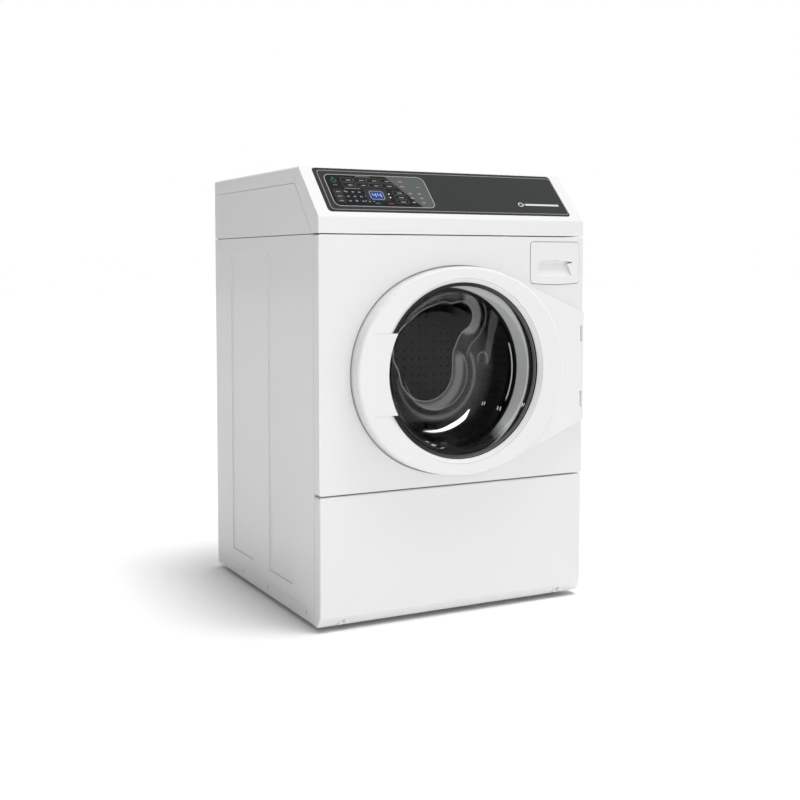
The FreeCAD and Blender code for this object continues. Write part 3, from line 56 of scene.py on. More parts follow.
# %% Material helpers
class Wire:
    """One output of a node; arithmetic on it adds Math nodes."""

    def __init__(self, paint, socket):
        self.paint = paint
        self.socket = socket

    def maths(self, operation, *values):
        return self.paint.add("ShaderNodeMath", {"operation": operation}, values)

    def __add__(self, other):
        return self.maths("ADD", self, other)

    def __sub__(self, other):
        return self.maths("SUBTRACT", self, other)

    def __rsub__(self, other):
        return self.maths("SUBTRACT", other, self)

    def __mul__(self, other):
        return self.maths("MULTIPLY", self, other)

    def __lt__(self, other):
        return self.maths("LESS_THAN", self, other)

    def __gt__(self, other):
        return self.maths("GREATER_THAN", self, other)

    def up_to(self, other):
        return self.maths("MINIMUM", self, other)

    def at_least(self, other):
        return self.maths("MAXIMUM", self, other)

    def __neg__(self):
        return self * -1

    def size(self):
        return self.maths("ABSOLUTE", self)

    def root(self):
        return self.maths("SQRT", self)

    def fraction(self):
        return self.maths("FRACT", self)

    __radd__ = __add__
    __rmul__ = __mul__


class Paint:
    """A material under construction, with its Principled shader."""

    def __init__(self, name, **constants):
        self.material = bpy.data.materials.new(name)
        self.material.use_nodes = True
        self.tree = self.material.node_tree
        self.shader = self.tree.nodes["Principled BSDF"]
        for socket, value in constants.items():
            self.shader.inputs[socket.replace("_", " ")].default_value = value

    def add(self, kind, settings=None, values=(), out=0):
        node = self.tree.nodes.new(kind)
        for key, value in (settings or {}).items():
            if key == "stops":
                ramp = node.color_ramp
                while len(ramp.elements) < len(value):
                    ramp.elements.new(0.5)
                for element, (place, tone) in zip(ramp.elements, value):
                    element.position = place
                    element.color = (*tone, 1)
            else:
                setattr(node, key, value)
        pairs = values.items() if isinstance(values, dict) else enumerate(values)
        for key, value in pairs:
            self.feed(node.inputs[key], value)
        return Wire(self, node.outputs[out])

    def feed(self, socket, value):
        if isinstance(value, Wire):
            self.tree.links.new(value.socket, socket)
        elif value is not None:
            socket.default_value = value

    def place(self):
        return self.add("ShaderNodeTexCoord", out="Object")

    def noise(self, scale, detail=2.0, where=None):
        return self.add("ShaderNodeTexNoise", {}, {
            "Vector": where or self.place(), "Scale": scale, "Detail": detail})

    def axes(self, vector=None):
        """x, y and z of a vector; of the object's own coordinates if none is given."""
        spot = vector or self.place()
        return [self.add("ShaderNodeSeparateXYZ", {}, [spot], axis) for axis in range(3)]

    def mix(self, factor, first, second):
        node = self.tree.nodes.new("ShaderNodeMix")
        node.data_type = "RGBA"
        node.clamp_factor = True
        self.feed(node.inputs[0], factor)
        self.feed(node.inputs[6], first)
        self.feed(node.inputs[7], second)
        return Wire(self, node.outputs[2])

    def bump(self, height, strength, distance):
        return self.add("ShaderNodeBump", {}, {
            "Height": height, "Strength": strength, "Distance": distance})

    def set(self, socket, value):
        self.feed(self.shader.inputs[socket], value)


def rgb(red, green=None, blue=None):
    """A colour with full alpha; one number gives a grey."""
    green = red if green is None else green
    blue = red if blue is None else blue
    return (red, green, blue, 1)


print("material helpers ready")


# %% [markdown]
# ## Sheet metal and plastic finishes
# Enamel and moulded plastic look alike from afar. Close by, sprayed enamel has a very fine
# orange peel under a clear glossy coat, while plastic has a dryer, finer grain. Both are
# made from noise at the true scale, with a few percent of tone change so no face is flat.

# %% Finishes: enamel, plastics, rubber
PEEL_DEPTH = 0.0004


def coated(name, tone, rough, peel, height, coat=0.0, shift=0.015, painted_highlights=0.5):
    """A dielectric finish; peel is the bumps' scale, and shift the change of tone."""
    paint = Paint(name, Coat_Weight=coat, Coat_Roughness=0.08, Specular_IOR_Level=painted_highlights)
    cloud = paint.noise(2.3, 3)
    low = rgb(*[max(0, c * (1 - shift)) for c in tone])
    paint.set("Base Color", paint.mix(cloud, low, rgb(*tone)))
    paint.set("Roughness", cloud * 0.06 + rough)
    paint.set("Normal", paint.bump(paint.noise(peel, 2), height, PEEL_DEPTH))
    return paint.material


finishes = {
    "enamel": coated("enamel", (0.79, 0.792, 0.795), 0.3, 420, 0.04, coat=0.2),
    "white_plastic": coated("white_plastic", (0.8, 0.802, 0.805), 0.26, 900, 0.03, coat=0.3),
    "gasket_grey": coated("gasket_grey", (0.5, 0.51, 0.52), 0.55, 700, 0.15, shift=0.08),
    "grey_plastic": coated("grey_plastic", (0.55, 0.56, 0.56), 0.5, 1200, 0.12),
    "black_plastic": coated("black_plastic", (0.012, 0.012, 0.013), 0.4, 1500, 0.1,
                            shift=0.2, painted_highlights=0.3),
    "rubber": coated("rubber", (0.02, 0.02, 0.021), 0.62, 700, 0.2, shift=0.3),
    "motor_paint": coated("motor_paint", (0.05, 0.053, 0.057), 0.4, 600, 0.1, shift=0.2),
    "cast_weight": coated("cast_weight", (0.2, 0.2, 0.2), 0.8, 260, 0.7, shift=0.35),
    "board_green": coated("board_green", (0.02, 0.16, 0.06), 0.4, 1500, 0.1, shift=0.2),
}
print("coated finishes", len(finishes))

# %% [markdown]
# ## Bare metals
# Rolled and ground metal carries fine parallel lines. Noise stretched a hundredfold along
# one axis gives them, and they change the roughness and a faint bump together.

# %% Finishes: metals
def metal(name, tone, rough, stretch, height=0.08):
    """A bare metal; stretch is the grain's scale along x, y and z."""
    paint = Paint(name, Metallic=1.0)
    lines = paint.add("ShaderNodeMapping", {}, {"Vector": paint.place(), "Scale": stretch})
    grain = paint.noise(1.0, 4, lines)
    paint.set("Base Color", paint.mix(grain, rgb(*[c * 0.88 for c in tone]), rgb(*tone)))
    paint.set("Roughness", grain * 0.16 + rough)
    paint.set("Normal", paint.bump(grain, height, 0.0003))
    return paint.material


finishes["zinc_steel"] = metal("zinc_steel", (0.58, 0.6, 0.61), 0.34, (60, 60, 900))
finishes["plated_steel"] = metal("plated_steel", (0.6, 0.6, 0.6), 0.25, (300, 300, 300))
finishes["cast_alloy"] = metal("cast_alloy", (0.62, 0.62, 0.63), 0.42, (180, 180, 180), 0.3)
finishes["badge_silver"] = metal("badge_silver", (0.85, 0.86, 0.87), 0.2, (900, 900, 900))
print("with metals", len(finishes))

# %% [markdown]
# ## Door bezel
# The bezel is a moulded ring of grey and black plastic between the white door ring and the
# glass. Steps in the mould give it a black rim, a thin bright edge and a dark grey face.
# The distance from the door's axis picks the tone, and a ramp turns it into bands. Towards
# the upper left the colour is blended to near black: painted shade.

# %% Finish: stepped bezel
axis_level = (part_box("door_glass")[0].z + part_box("door_glass")[1].z) / 2
opening = (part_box("door_bezel")[1].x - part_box("door_bezel")[0].x) / 2
BEZEL_FACE = 0.018
bezel = Paint("bezel_grey", Specular_IOR_Level=0.3)
bx, _, bz = bezel.axes()
bz = bz - axis_level
ring_at = ((bx * bx + bz * bz).root() - (opening - BEZEL_FACE)) * (1 / BEZEL_FACE)
bands = bezel.add("ShaderNodeValToRGB", {"stops": [
    (0.0, (0.06, 0.061, 0.063)), (0.34, (0.075, 0.076, 0.078)), (0.36, (0.2, 0.2, 0.2)),
    (0.41, (0.2, 0.2, 0.2)), (0.43, (0.012, 0.012, 0.012)), (1.0, (0.01, 0.01, 0.01))]},
    {"Fac": ring_at})
# Painted shade: the bands fade to near black towards the upper left.
painted_shade = (bx * 6 - bz * 2.5 + 0.35).at_least(0).up_to(1)
bezel.set("Base Color", bezel.mix(painted_shade, rgb(0.006, 0.006, 0.007), bands))
fine_grain = bezel.noise(900, 2)
bezel.set("Roughness", fine_grain * 0.06 + 0.3)
bezel.set("Normal", bezel.bump(fine_grain, 0.04, 0.0003))
finishes["bezel_grey"] = bezel.material
print("opening radius", round(opening, 4), "axis level", round(axis_level, 4))

# %% [markdown]
# ## The drum's drilled steel
# The basket is stainless sheet with rows of small drain holes. Thousands of real holes
# would weigh the mesh down, so each hole is a dark disc in the colour with a dent in the
# bump. On the back the rows run along x and z, and on the wall they run round the axis.

# %% Finish: drilled stainless
HOLE_PITCH = 0.022
HOLE_RADIUS = 0.0021
DRUM_RADIUS = 0.25
BACK_SHEET = 0.004


def cell(wire, pitch):
    """Distance from the middle of the nearest cell of a row."""
    return ((wire * (1 / pitch)).fraction() - 0.5).size() * pitch


drilled = Paint("stainless", Metallic=1.0)
spot = drilled.place()
dx, dy, dz = drilled.axes(spot)
dz = dz - axis_level
wall_turn = drilled.add("ShaderNodeMath", {"operation": "ARCTAN2"}, [
    dz, dx]) * DRUM_RADIUS
back_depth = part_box("drum")[1].y - BACK_SHEET
on_back = dy > back_depth


def hole(first, second):
    """1 inside the holes of a grid of rows along two directions."""
    across, along = cell(first, HOLE_PITCH), cell(second, HOLE_PITCH)
    return (across * across + along * along).root() < HOLE_RADIUS


holes = hole(dx, dz) * on_back + hole(wall_turn, dy) * (1 - on_back)
brushed = drilled.noise(1.0, 4, drilled.add(
    "ShaderNodeMapping", {}, {"Vector": spot, "Scale": (240, 8, 240)}))
drilled.set("Base Color", drilled.mix(holes, drilled.mix(
    brushed, rgb(0.5), rgb(0.62)), rgb(0.01)))
drilled.set("Roughness", brushed * 0.2 + 0.28)
drilled.set("Normal", drilled.bump(brushed * 0.2 - holes, 0.3, 0.001))
finishes["stainless"] = drilled.material
print("drum back from y", round(back_depth, 4))

# %% [markdown]
# ## The printed key film
# The console film is one sheet of dark plastic, printed from behind: a silver pinstripe all
# round, a black key field with its own outline, and rows of small legends. The legends are
# drawn as short bars and rings and carry no words. The film lies on a slope, so a Mapping
# node first turns the object's own coordinates into x along the film and s up it, in mm.

# %% Film coordinates
film_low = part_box("console_overlay")[0]
SLOPE_RISE = 0.113
SLOPE_RUN = 0.1095
SLOPE = math.atan2(SLOPE_RISE, SLOPE_RUN)
FILM_FOOT = 0.015
FILM_PROUD = 0.0004
FILM_SEAT = 0.0012
slope_y = film_low.y - FILM_FOOT * math.cos(SLOPE) + FILM_PROUD * math.sin(SLOPE)
slope_z = film_low.z - FILM_FOOT * math.sin(SLOPE) + FILM_SEAT * math.cos(SLOPE)


def film_wires(paint):
    """x along the console and s up its slope, both in millimetres."""
    flat = paint.add("ShaderNodeMapping", {"vector_type": "TEXTURE"}, {
        "Vector": paint.place(), "Location": (0, slope_y, slope_z),
        "Rotation": (SLOPE, 0, 0), "Scale": (0.001, 0.001, 0.001)})
    return [paint.add("ShaderNodeSeparateXYZ", {}, [flat], axis) for axis in (0, 1)]


def within(wire, low, high):
    """1 between two values."""
    return (wire > low) * (wire < high)


def frame_line(x, s, left, right, low, high, radius, width):
    """Distance from a box with round corners, and a line of the given width on it."""
    across = ((x - (left + right) / 2).size() - (right - left) / 2 + radius).at_least(0)
    along = ((s - (low + high) / 2).size() - (high - low) / 2 + radius).at_least(0)
    off = (across * across + along * along).root() - radius
    return off, off.size() < width / 2


print("slope", round(math.degrees(SLOPE), 2), "foot", round(slope_y, 4), round(slope_z, 4))

# %% [markdown]
# ### Legends
# Keys sit in rows, so a row is made by folding the film into equal cells with Fraction.
# Inside one cell stand a dim rounded box and a pale bar, and noise breaks the bar up into
# marks as small as print, which cannot be read.

# %% The film's print
def key_rows(paint, x, s, left, pitch, count, low, rise, rows, bar, boxed):
    """Pale bars, and dim key boxes, in a grid of cells."""
    field = within(x, left, left + pitch * count) * within(s, low, low + rise * rows)
    u = ((x - left) * (1 / pitch)).fraction() * pitch
    v = ((s - low) * (1 / rise)).fraction() * rise
    grain = paint.noise(900.0, 1.0) > 0.44
    bars = within(u, bar[0], bar[1]) * within(v, bar[2], bar[3]) * grain * field
    outline = frame_line(u, v, 1.2, pitch - 1.6, 1.4, rise - 1.6, 2.6, 0.7)[1] * field
    return bars, outline * boxed


# Each grid: left, cell width, columns, low, row height, rows, bar in the cell, boxes
KEY_GRIDS = ((-254, 32, 5, 93, 16, 2, (14, 25, 5.5, 8.5), 1.0),
             (-282, 22, 1, 43, 14.5, 3, (5, 16, 4.5, 7.5), 1.0),
             (-258, 15.5, 4, 43, 14.5, 3, (4, 10, 4, 7.5), 0.0),
             (-139, 33, 1, 43, 14.5, 3, (12, 24, 4.5, 8), 1.0),
             (-102, 24, 2, 43, 14.5, 3, (4, 12, 4, 8), 0.0))
ROUND_MARKS = ((-271, 113), (-67, 113))
STATUS_BARS = ((-159, rgb(0.35, 0.03, 0.06)), (-192, rgb(0.03, 0.16, 0.12)))
BLUE_MARKS = ((-255, 80), (-213, 50), (-236, 51), (-208, 66), (-194, 50))
LAMP_ROWS = (63, 74)


def round_mark(paint, tone, across, along):
    """A small ring with a tick on top and a short label under it."""
    ring = ((across * across + along * along).root() - 5.4).size() < 1.3
    ring = ring + within(across.size() * 0.8 + (along - 10).size(), 0, 3)
    tone = paint.mix(ring.up_to(1) * 0.8, tone, rgb(0.03, 0.15, 0.1))
    label = within(across, -5, 5) * within(along, -15, -12.5)
    return paint.mix(label * 0.6, tone, rgb(0.3))


def small_marks(paint, tone, x, s):
    """Status bars, blue marks, pale lamps and two headlines."""
    for left, tint in STATUS_BARS:
        tone = paint.mix(within(x, left, left + 12) * within(s, 42, 45), tone, tint)
    for spot_x, spot_s in BLUE_MARKS:
        drop = ((x - spot_x).size() + (s - spot_s).size()) < 2.6
        tone = paint.mix(drop * 0.8, tone, rgb(0.2, 0.3, 0.62))
    for centre_s in LAMP_ROWS:
        dot = ((x + 149) * (x + 149) + (s - centre_s) * (s - centre_s)).root() < 1.9
        tone = paint.mix(dot, tone, rgb(0.85))
    headline = within(x, -214, -178) * within(s, 127.5, 129.5) + within(
        x, -252, -214) * within(s, 88, 90)
    return paint.mix(headline * 0.5, tone, rgb(0.4))


def print_film(paint):
    """The print, from back to front: field, painted reflection, keys, marks, rim, outlines.
    """
    x, s = film_wires(paint)
    stripe = frame_line(x, s, -303, 311, 22, 145, 8, 1.5)[1]
    rim = frame_line(x, s, -311, 311, 16, 152, 8, 1.2)[0]
    field, field_line = frame_line(x, s, -291, -44, 33, 133, 15, 1.8)
    inside = field < 0
    # Painted reflection: a lighter diagonal band over the right part of the key field.
    painted_reflection_band = inside * ((x + s * 0.653 + 54.5) > 0)
    tone = paint.mix(inside, rgb(0.028, 0.031, 0.031), rgb(0.005, 0.005, 0.0055))
    tone = paint.mix(painted_reflection_band * 0.85, tone, rgb(0.11, 0.115, 0.115))
    marks, boxes = 0.0, 0.0
    for grid in KEY_GRIDS:
        pale, dim = key_rows(paint, x, s, *grid)
        marks, boxes = pale + marks, dim + boxes
    tone = paint.mix(boxes, tone, rgb(0.12))
    tone = paint.mix(marks * 0.75, tone, rgb(0.42, 0.43, 0.44))
    for centre_x, centre_s in ROUND_MARKS:
        tone = round_mark(paint, tone, x - centre_x, s - centre_s)
    tone = small_marks(paint, tone, x, s)
    tone = paint.mix((rim > 0) * 0.8, tone, rgb(0.012))
    tone = paint.mix(stripe, tone, rgb(0.32, 0.325, 0.33))
    return paint.mix(field_line, tone, rgb(0.38, 0.385, 0.39))


def film_finish(name, rough):
    """Glossy film with the print; the key caps are a little dryer."""
    paint = Paint(name, Specular_IOR_Level=0.12, Coat_Weight=0.0)
    paint.set("Base Color", print_film(paint))
    paint.set("Roughness", paint.noise(40, 2) * 0.05 + rough)
    paint.set("Normal", paint.bump(paint.noise(1600, 1), 0.02, 0.0002))
    return paint.material


finishes["overlay_black"] = film_finish("overlay_black", 0.22)
finishes["key_black"] = film_finish("key_black", 0.26)
print("film finishes", [name for name in finishes if "black" in name])

# %% The display's lens
lens = Paint("display_lens", Specular_IOR_Level=0.3)
lens_x, lens_s = film_wires(lens)
lens_off, lens_line = frame_line(lens_x, lens_s, -196.5, -163.5, 56, 82, 5, 1.5)
glow = ((lens_off * -0.3).up_to(1)).at_least(0)
lens.set("Base Color", lens.mix(lens_line, rgb(0.006, 0.007, 0.012), rgb(0.3, 0.34, 0.45)))
lens.set("Roughness", lens.noise(60, 1) * 0.04 + 0.1)
lens.set("Emission Color", lens.mix(glow, rgb(0), rgb(0.004, 0.02, 0.13)))
lens.shader.inputs["Emission Strength"].default_value = 1.0
finishes["display_lens"] = lens.material
print("lens glow", lens.shader.inputs["Emission Strength"].default_value)

# %% [markdown]
# ## Glass with painted reflections
# The door glass is a thick smoked bowl. Its curved bottom bends the bright room into
# flowing grey bands round one dark pool, and its knee catches one white crescent. A clear
# shader alone would need the very same room to show them, so they are painted on the glass:
# painted reflections and painted highlights in a faint film, with a painted glow. The film
# is drawn on a flat plane at the bowl's floor and carried to the walls along one slanted
# direction, so that its lines run on unbroken over the knee.

# %% Film plane of the glass
def capsule(u, v, length, radius):
    """Distance from a rod that lies along u, from 0 to its length."""
    along = u - (u * (1 / length)).at_least(0).up_to(1) * length
    return (along * along + v * v).root() - radius


def disc(u, v, at_u, at_v, radius):
    """Distance from a disc."""
    return ((u - at_u) * (u - at_u) + (v - at_v) * (v - at_v)).root() - radius


def melt(paint, first, second, soft):
    """Smooth minimum of two distances."""
    return paint.add("ShaderNodeMath", {"operation": "SMOOTH_MIN"}, [first, second, soft])


def line(distance, width, blur):
    """1 on a line, fading to 0 over the blur."""
    return ((distance.size() - width / 2) * (-1 / blur) + 1).at_least(0).up_to(1)


def side(distance, blur):
    """1 where the distance is positive, with a soft change."""
    return (distance * (1 / blur) + 0.5).at_least(0).up_to(1)


FLOOR_SHEET = 0.005
FLOOR_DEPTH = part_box("door_glass")[1].y - FLOOR_SHEET
glass = Paint("door_glass", Transmission_Weight=1.0, IOR=1.25, Specular_IOR_Level=0.4)
smoke = glass.noise(3.0, 2)
glass.set("Base Color", glass.mix(smoke, rgb(0.27, 0.275, 0.28), rgb(0.32, 0.325, 0.33)))
glass.set("Roughness", smoke * 0.03)
gx, gy, gz = glass.axes()
deep = gy - FLOOR_DEPTH
ripple = (glass.noise(6.0, 1.0) - 0.5) * 9
gh = gz - axis_level
SLANT_SIDEWAYS = 0.557
SLANT_DOWN = 0.098
SPREAD = 0.41
u = (gx - deep * (gx * SPREAD + SLANT_SIDEWAYS)) * 1000
w = (gh - deep * (gh * SPREAD - SLANT_DOWN)) * 1000
print("film plane at y", round(FLOOR_DEPTH, 4))

# %% The dark pool
HEAD_U, HEAD_W = -2, 80
HEAD_TILT = math.atan2(36, 70)
JOIN = 14.0
tilt_cos, tilt_sin = math.cos(HEAD_TILT), math.sin(HEAD_TILT)
head_u = (u - HEAD_U) * tilt_cos + (w - HEAD_W) * tilt_sin
head_v = (w - HEAD_W) * tilt_cos - (u - HEAD_U) * tilt_sin
head = melt(glass, capsule(head_u, head_v, 79, 33), disc(u, w, -2, 76, 62), JOIN)
head = melt(glass, head, disc(u, w, 25, 100, 48), JOIN)
trunk = melt(glass, capsule(w + 10, u + 22, 62, 68), disc(u, w, -46, 42, 64), JOIN)
pool = melt(glass, head, trunk, 16.0)
print("pool nodes", len(glass.tree.nodes))

# %% Painted reflection bands round the pool
ARC_U, ARC_W, ARC_RADIUS = 5, -18, 86
arc_out = disc(u, w, ARC_U, ARC_W, ARC_RADIUS)
turn = glass.add("ShaderNodeMath", {"operation": "ARCTAN2"}, [w - ARC_W, u - ARC_U])
arc_open = side(0.5 - turn, 0.1) * side(turn + 2.9, 0.5)
right_of_head = side(u - 78, 14) * side(pool * -1 + 27, 10) * side(w - 74, 12)
# Painted reflections of the room: thin and wide bands round the dark pool; one band takes
# film away, so it shows darker.
thin = line(pool - 2.5, 1.5, 2.0) * 0.45
near_band = line(pool - 22, 9, 14) * side(w * -1 + 35, 30) * side(arc_out + 2, 8) * -0.2
wide = line(pool - 20, 12, 10) * side(28 - w, 14) * side(-arc_out, 8) * 0.42
bump = line(pool - 13, 15, 7) * right_of_head * 0.55
tongue = line(disc(u, w, ARC_U, ARC_W, 103), 2, 7) * arc_open * 0.3
inner_edge = line(arc_out + 3, 1.5, 3) * arc_open * 0.26
top_band = line(pool - 17 - ripple, 10, 9) * side(w - 96, 50) * side(70 - u, 30) * 0.2
far_line = line(pool - 37 - ripple, 1.2, 3) * side(w - 20, 20) * 0.24
faint_painted_reflection = side(pool - 4, 8) * side(arc_out * -1 + 52, 30) * 0.1

# %% The painted arch and wedge reflections beside the pool
arch = line(capsule(w + 40, u - 131, 56, 13), 1.6, 2.5) * side(w - 2, 16) * 0.3
wedge_left = side(u - 134 - (w - 10) * 0.16, 3)
wedge_right = side(177 - u - (130 - w) * 0.22, 3)
wedge = wedge_left * wedge_right * side(w, 10) * side(150 - w, 20) * 0.2
painted_reflection_swirl = (thin + wide + bump + tongue + inner_edge + top_band + far_line + faint_painted_reflection + arch
         + wedge + near_band).at_least(0).up_to(0.62)
painted_reflection_swirl = painted_reflection_swirl * side(-disc(u, w, 60, -10, 184), 4)
print("swirl nodes", len(glass.tree.nodes))

# %% The wall, its seal line, and painted highlights and reflection
wall_out = disc(u, w, 41, -10, 215)
wall_in = disc(u, w, 31, -10, 194)
# A grey band on the lower right of the bowl's wall; below, the film gives it a faint painted
# glow.
wall_band = side(wall_in, 3) * side(-wall_out, 3) * side(w * 0.7 + u - 60, 60)
# Painted highlight: a tall thin line on the wall.
tall_highlight = line(wall_in + 12, 0.6, 2.0) * side(50 - w, 6) * side(w + 88, 10) * side(u, 20)
seal = side(wall_in + 8, 3) * side(-wall_in, 3) * side(u, 40)
# Painted highlight along the wall's outer edge, and a painted reflection of the room low on
# the bowl.
edge_highlight = line(wall_out - 1, 1.5, 2) * side(u * 1.0 + w * 0.5 - 20, 60)
low_room_reflection = line(ripple * 8 - 6 + w * 0.05, 1.0, 2.5) * side(-150 - w, 12) * side(
    60 - u, 20) * 0.2
print("wall nodes", len(glass.tree.nodes))

# %% Painted highlights: the crescent on the knee and small glints
crescent_far = disc(u, w, 5, -25, 130)
crescent_full = ((u + 34) * 0.14).at_least(0).up_to(11)
crescent_end = side(u + 32, 2) * side(95 - u + (w + 109) * 0.55, 2) * side(-w - 106, 3)
crescent_highlight = side(-crescent_far, 1.2) * side(crescent_far + crescent_full, 1.2) * crescent_end
GLINTS = ((131, -94, 7), (137, -94, 7), (173, -107, 8), (180, -109, 8), (240, -102, 8),
          (245, -102, 6))
painted_glints = 0.0
for glint_u, glint_w, high in GLINTS:
    lean = (w - glint_w) * 0.35
    stroke = capsule(w - glint_w + high / 2, u - glint_u - lean, high, 0.1)
    painted_glints = line(stroke, 0.3, 0.8) + painted_glints
# All painted highlights together.
painted_highlights = (crescent_highlight + tall_highlight * 0.55 + painted_glints * 0.8).up_to(1)
print("highlights", len(GLINTS) + 1)

# %% The painted reflection film laid on the glass
# Film colour: grey on the wall band, near white on the painted highlights.
reflection_film_colour = glass.mix(wall_band, rgb(0.4, 0.405, 0.41), rgb(0.42, 0.425, 0.43))
reflection_film_colour = glass.mix(painted_highlights, reflection_film_colour, rgb(0.95))
# Painted glow: emission that lights the wall band faintly and the painted highlights
# strongly.
painted_glow = glass.mix(wall_band * 0.8, rgb(0), rgb(0.16, 0.162, 0.165))
painted_glow = glass.mix(painted_highlights, painted_glow, rgb(0.9))
painted_reflection_film = glass.add("ShaderNodeBsdfPrincipled", {}, {
    "Base Color": reflection_film_colour, "Roughness": 0.4, "Specular IOR Level": 0.1,
    "Emission Color": painted_glow, "Emission Strength": 1.0})
# How much painted reflection and painted highlight covers the clear glass.
painted_reflection_cover = (painted_reflection_swirl * side(-wall_in - 6, 4) * side(w + 128, 8) + low_room_reflection + wall_band * 0.72
         + painted_highlights + edge_highlight * 0.6).at_least(0).up_to(1)
clear = Wire(glass, glass.shader.outputs[0])
# The clear smoked glass is mixed with the painted film.
smoked = glass.add("ShaderNodeMixShader", {}, {0: painted_reflection_cover, 1: clear, 2: painted_reflection_film})
black = glass.add("ShaderNodeBsdfPrincipled", {}, {
    "Base Color": (0.004, 0.004, 0.0045, 1), "Roughness": 0.3, "Specular IOR Level": 0.2})
both = glass.add("ShaderNodeMixShader", {}, {0: seal * (1 - painted_highlights), 1: smoked, 2: black})
glass.tree.links.new(both.socket, glass.tree.nodes["Material Output"].inputs["Surface"])
finishes["door_glass"] = glass.material
print("glass ready")

# %% Hand out the finishes
slot_of = {s["node"]: s["material_slot"] for s in frame["record"]["subparts"]}
for name, obj in parts.items():
    obj.data.materials.clear()
    obj.data.materials.append(finishes[slot_of[name]])
print("finishes", len(finishes))

# %% [markdown]
# ## Making pieces by hand
# New pieces start from a primitive, are shaped in edit mode, and are finished with
# modifiers that are applied. Three small helpers do what every piece needs: start one with
# nothing else selected, apply a modifier, and settle the finished piece on its body.

# %% Piece helpers
def fresh(adder, name, **options):
    """Add a primitive with nothing else selected."""
    if bpy.context.object and bpy.context.object.mode != "OBJECT":
        bpy.ops.object.mode_set(mode="OBJECT")
    bpy.ops.object.select_all(action="DESELECT")
    adder(**options)
    piece = bpy.context.object
    piece.name = name
    piece.data.name = name
    return piece


def finish_with(piece, kind, **settings):
    """Add a modifier and apply it."""
    modifier = piece.modifiers.new(kind.lower(), kind)
    for key, value in settings.items():
        setattr(modifier, key, value)
    bpy.ops.object.select_all(action="DESELECT")
    piece.select_set(True)
    bpy.context.view_layer.objects.active = piece
    bpy.ops.object.modifier_apply(modifier=modifier.name)
    return piece


def settle(piece, slot, body, material=None):
    """Put the place into the mesh, then give the finish, picked by the slot name unless one
    is given, and the body.
    """
    bpy.ops.object.select_all(action="DESELECT")
    piece.select_set(True)
    bpy.context.view_layer.objects.active = piece
    bpy.ops.object.transform_apply(location=True, rotation=True, scale=True)
    bpy.ops.object.shade_smooth_by_angle(angle=math.radians(35))
    piece.data.materials.clear()
    piece.data.materials.append(material or finishes[slot])
    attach(piece, body)
    return piece


def gather(pieces, name):
    """Join several meshes into one piece."""
    bpy.ops.object.select_all(action="DESELECT")
    for piece in pieces:
        piece.select_set(True)
    bpy.context.view_layer.objects.active = pieces[0]
    if len(pieces) > 1:
        bpy.ops.object.join()
    pieces[0].name = name
    pieces[0].data.name = name
    return pieces[0]


def on_slope(x, s, n):
    """Point on the console: x along it, s up the slope, n out of it, in metres."""
    return Vector((x, slope_y + s * math.cos(SLOPE) - n * math.sin(SLOPE),
                   slope_z + s * math.sin(SLOPE) + n * math.cos(SLOPE)))


print("helpers ready")

# %% [markdown]
# ## Time display
# The time left shows as two glowing digits behind the lens. Each digit is built from
# straight bars like a seven-segment display, with the ends of each bar pointed by a bevel.

# %% Glowing digits
blue = Paint("digit_glow", Roughness=0.4, Specular_IOR_Level=0.1)
flicker = blue.noise(700, 2)
blue.set("Base Color", rgb(0.1, 0.2, 0.6))
blue.set("Emission Color", blue.mix(flicker, rgb(0.12, 0.3, 1.0), rgb(0.3, 0.5, 1.0)))
blue.shader.inputs["Emission Strength"].default_value = 1.0

DIGIT_HIGH = 0.0135
DIGIT_HALF_WIDE = 0.0036
DIGIT_LEVEL = 0.069
DIGIT_PLACES = (-0.1863, -0.1737)
CROSSBAR = 0.0064
BAR_GAP = 0.0007
BAR_WIDE = 0.0019
BAR_THICK = 0.0004
BAR_LIFT = 0.0007


def glow_bar(x, s, wide, high):
    """One bar of a digit, lying on the lens."""
    bar = fresh(bpy.ops.mesh.primitive_cube_add, "bar", size=1,
                location=on_slope(x, s, BAR_LIFT), rotation=(SLOPE, 0, 0))
    bar.scale = (wide, high, BAR_THICK)
    bpy.ops.object.transform_apply(location=False, rotation=False, scale=True)
    return finish_with(bar, "BEVEL", width=0.0007, segments=2, limit_method="ANGLE",
                       affect="EDGES")


half = DIGIT_HIGH / 2
UPRIGHTS = ((DIGIT_HALF_WIDE, half / 2), (DIGIT_HALF_WIDE, -half / 2),
            (-DIGIT_HALF_WIDE, half / 2))
bars = []
for digit_x in DIGIT_PLACES:
    bars.append(glow_bar(digit_x, DIGIT_LEVEL, CROSSBAR, BAR_WIDE))
    for aside, above in UPRIGHTS:
        bars.append(glow_bar(digit_x + aside, DIGIT_LEVEL + above, BAR_WIDE, half - BAR_GAP))
digits = settle(gather(bars, "display_digits"), "display_lens", "cabinet", blue.material)
print("digits", len(digits.data.polygons), "faces")

# %% [markdown]
# ## Toe bosses
# Where the toe of the lower panel leans back, each fixing screw needs an upright seat. The
# sheet is pressed forward there into a small triangle, wide at the floor and narrow at the
# top. A three-sided prism, flattened and bevelled, gives it, and it is copied to the right.

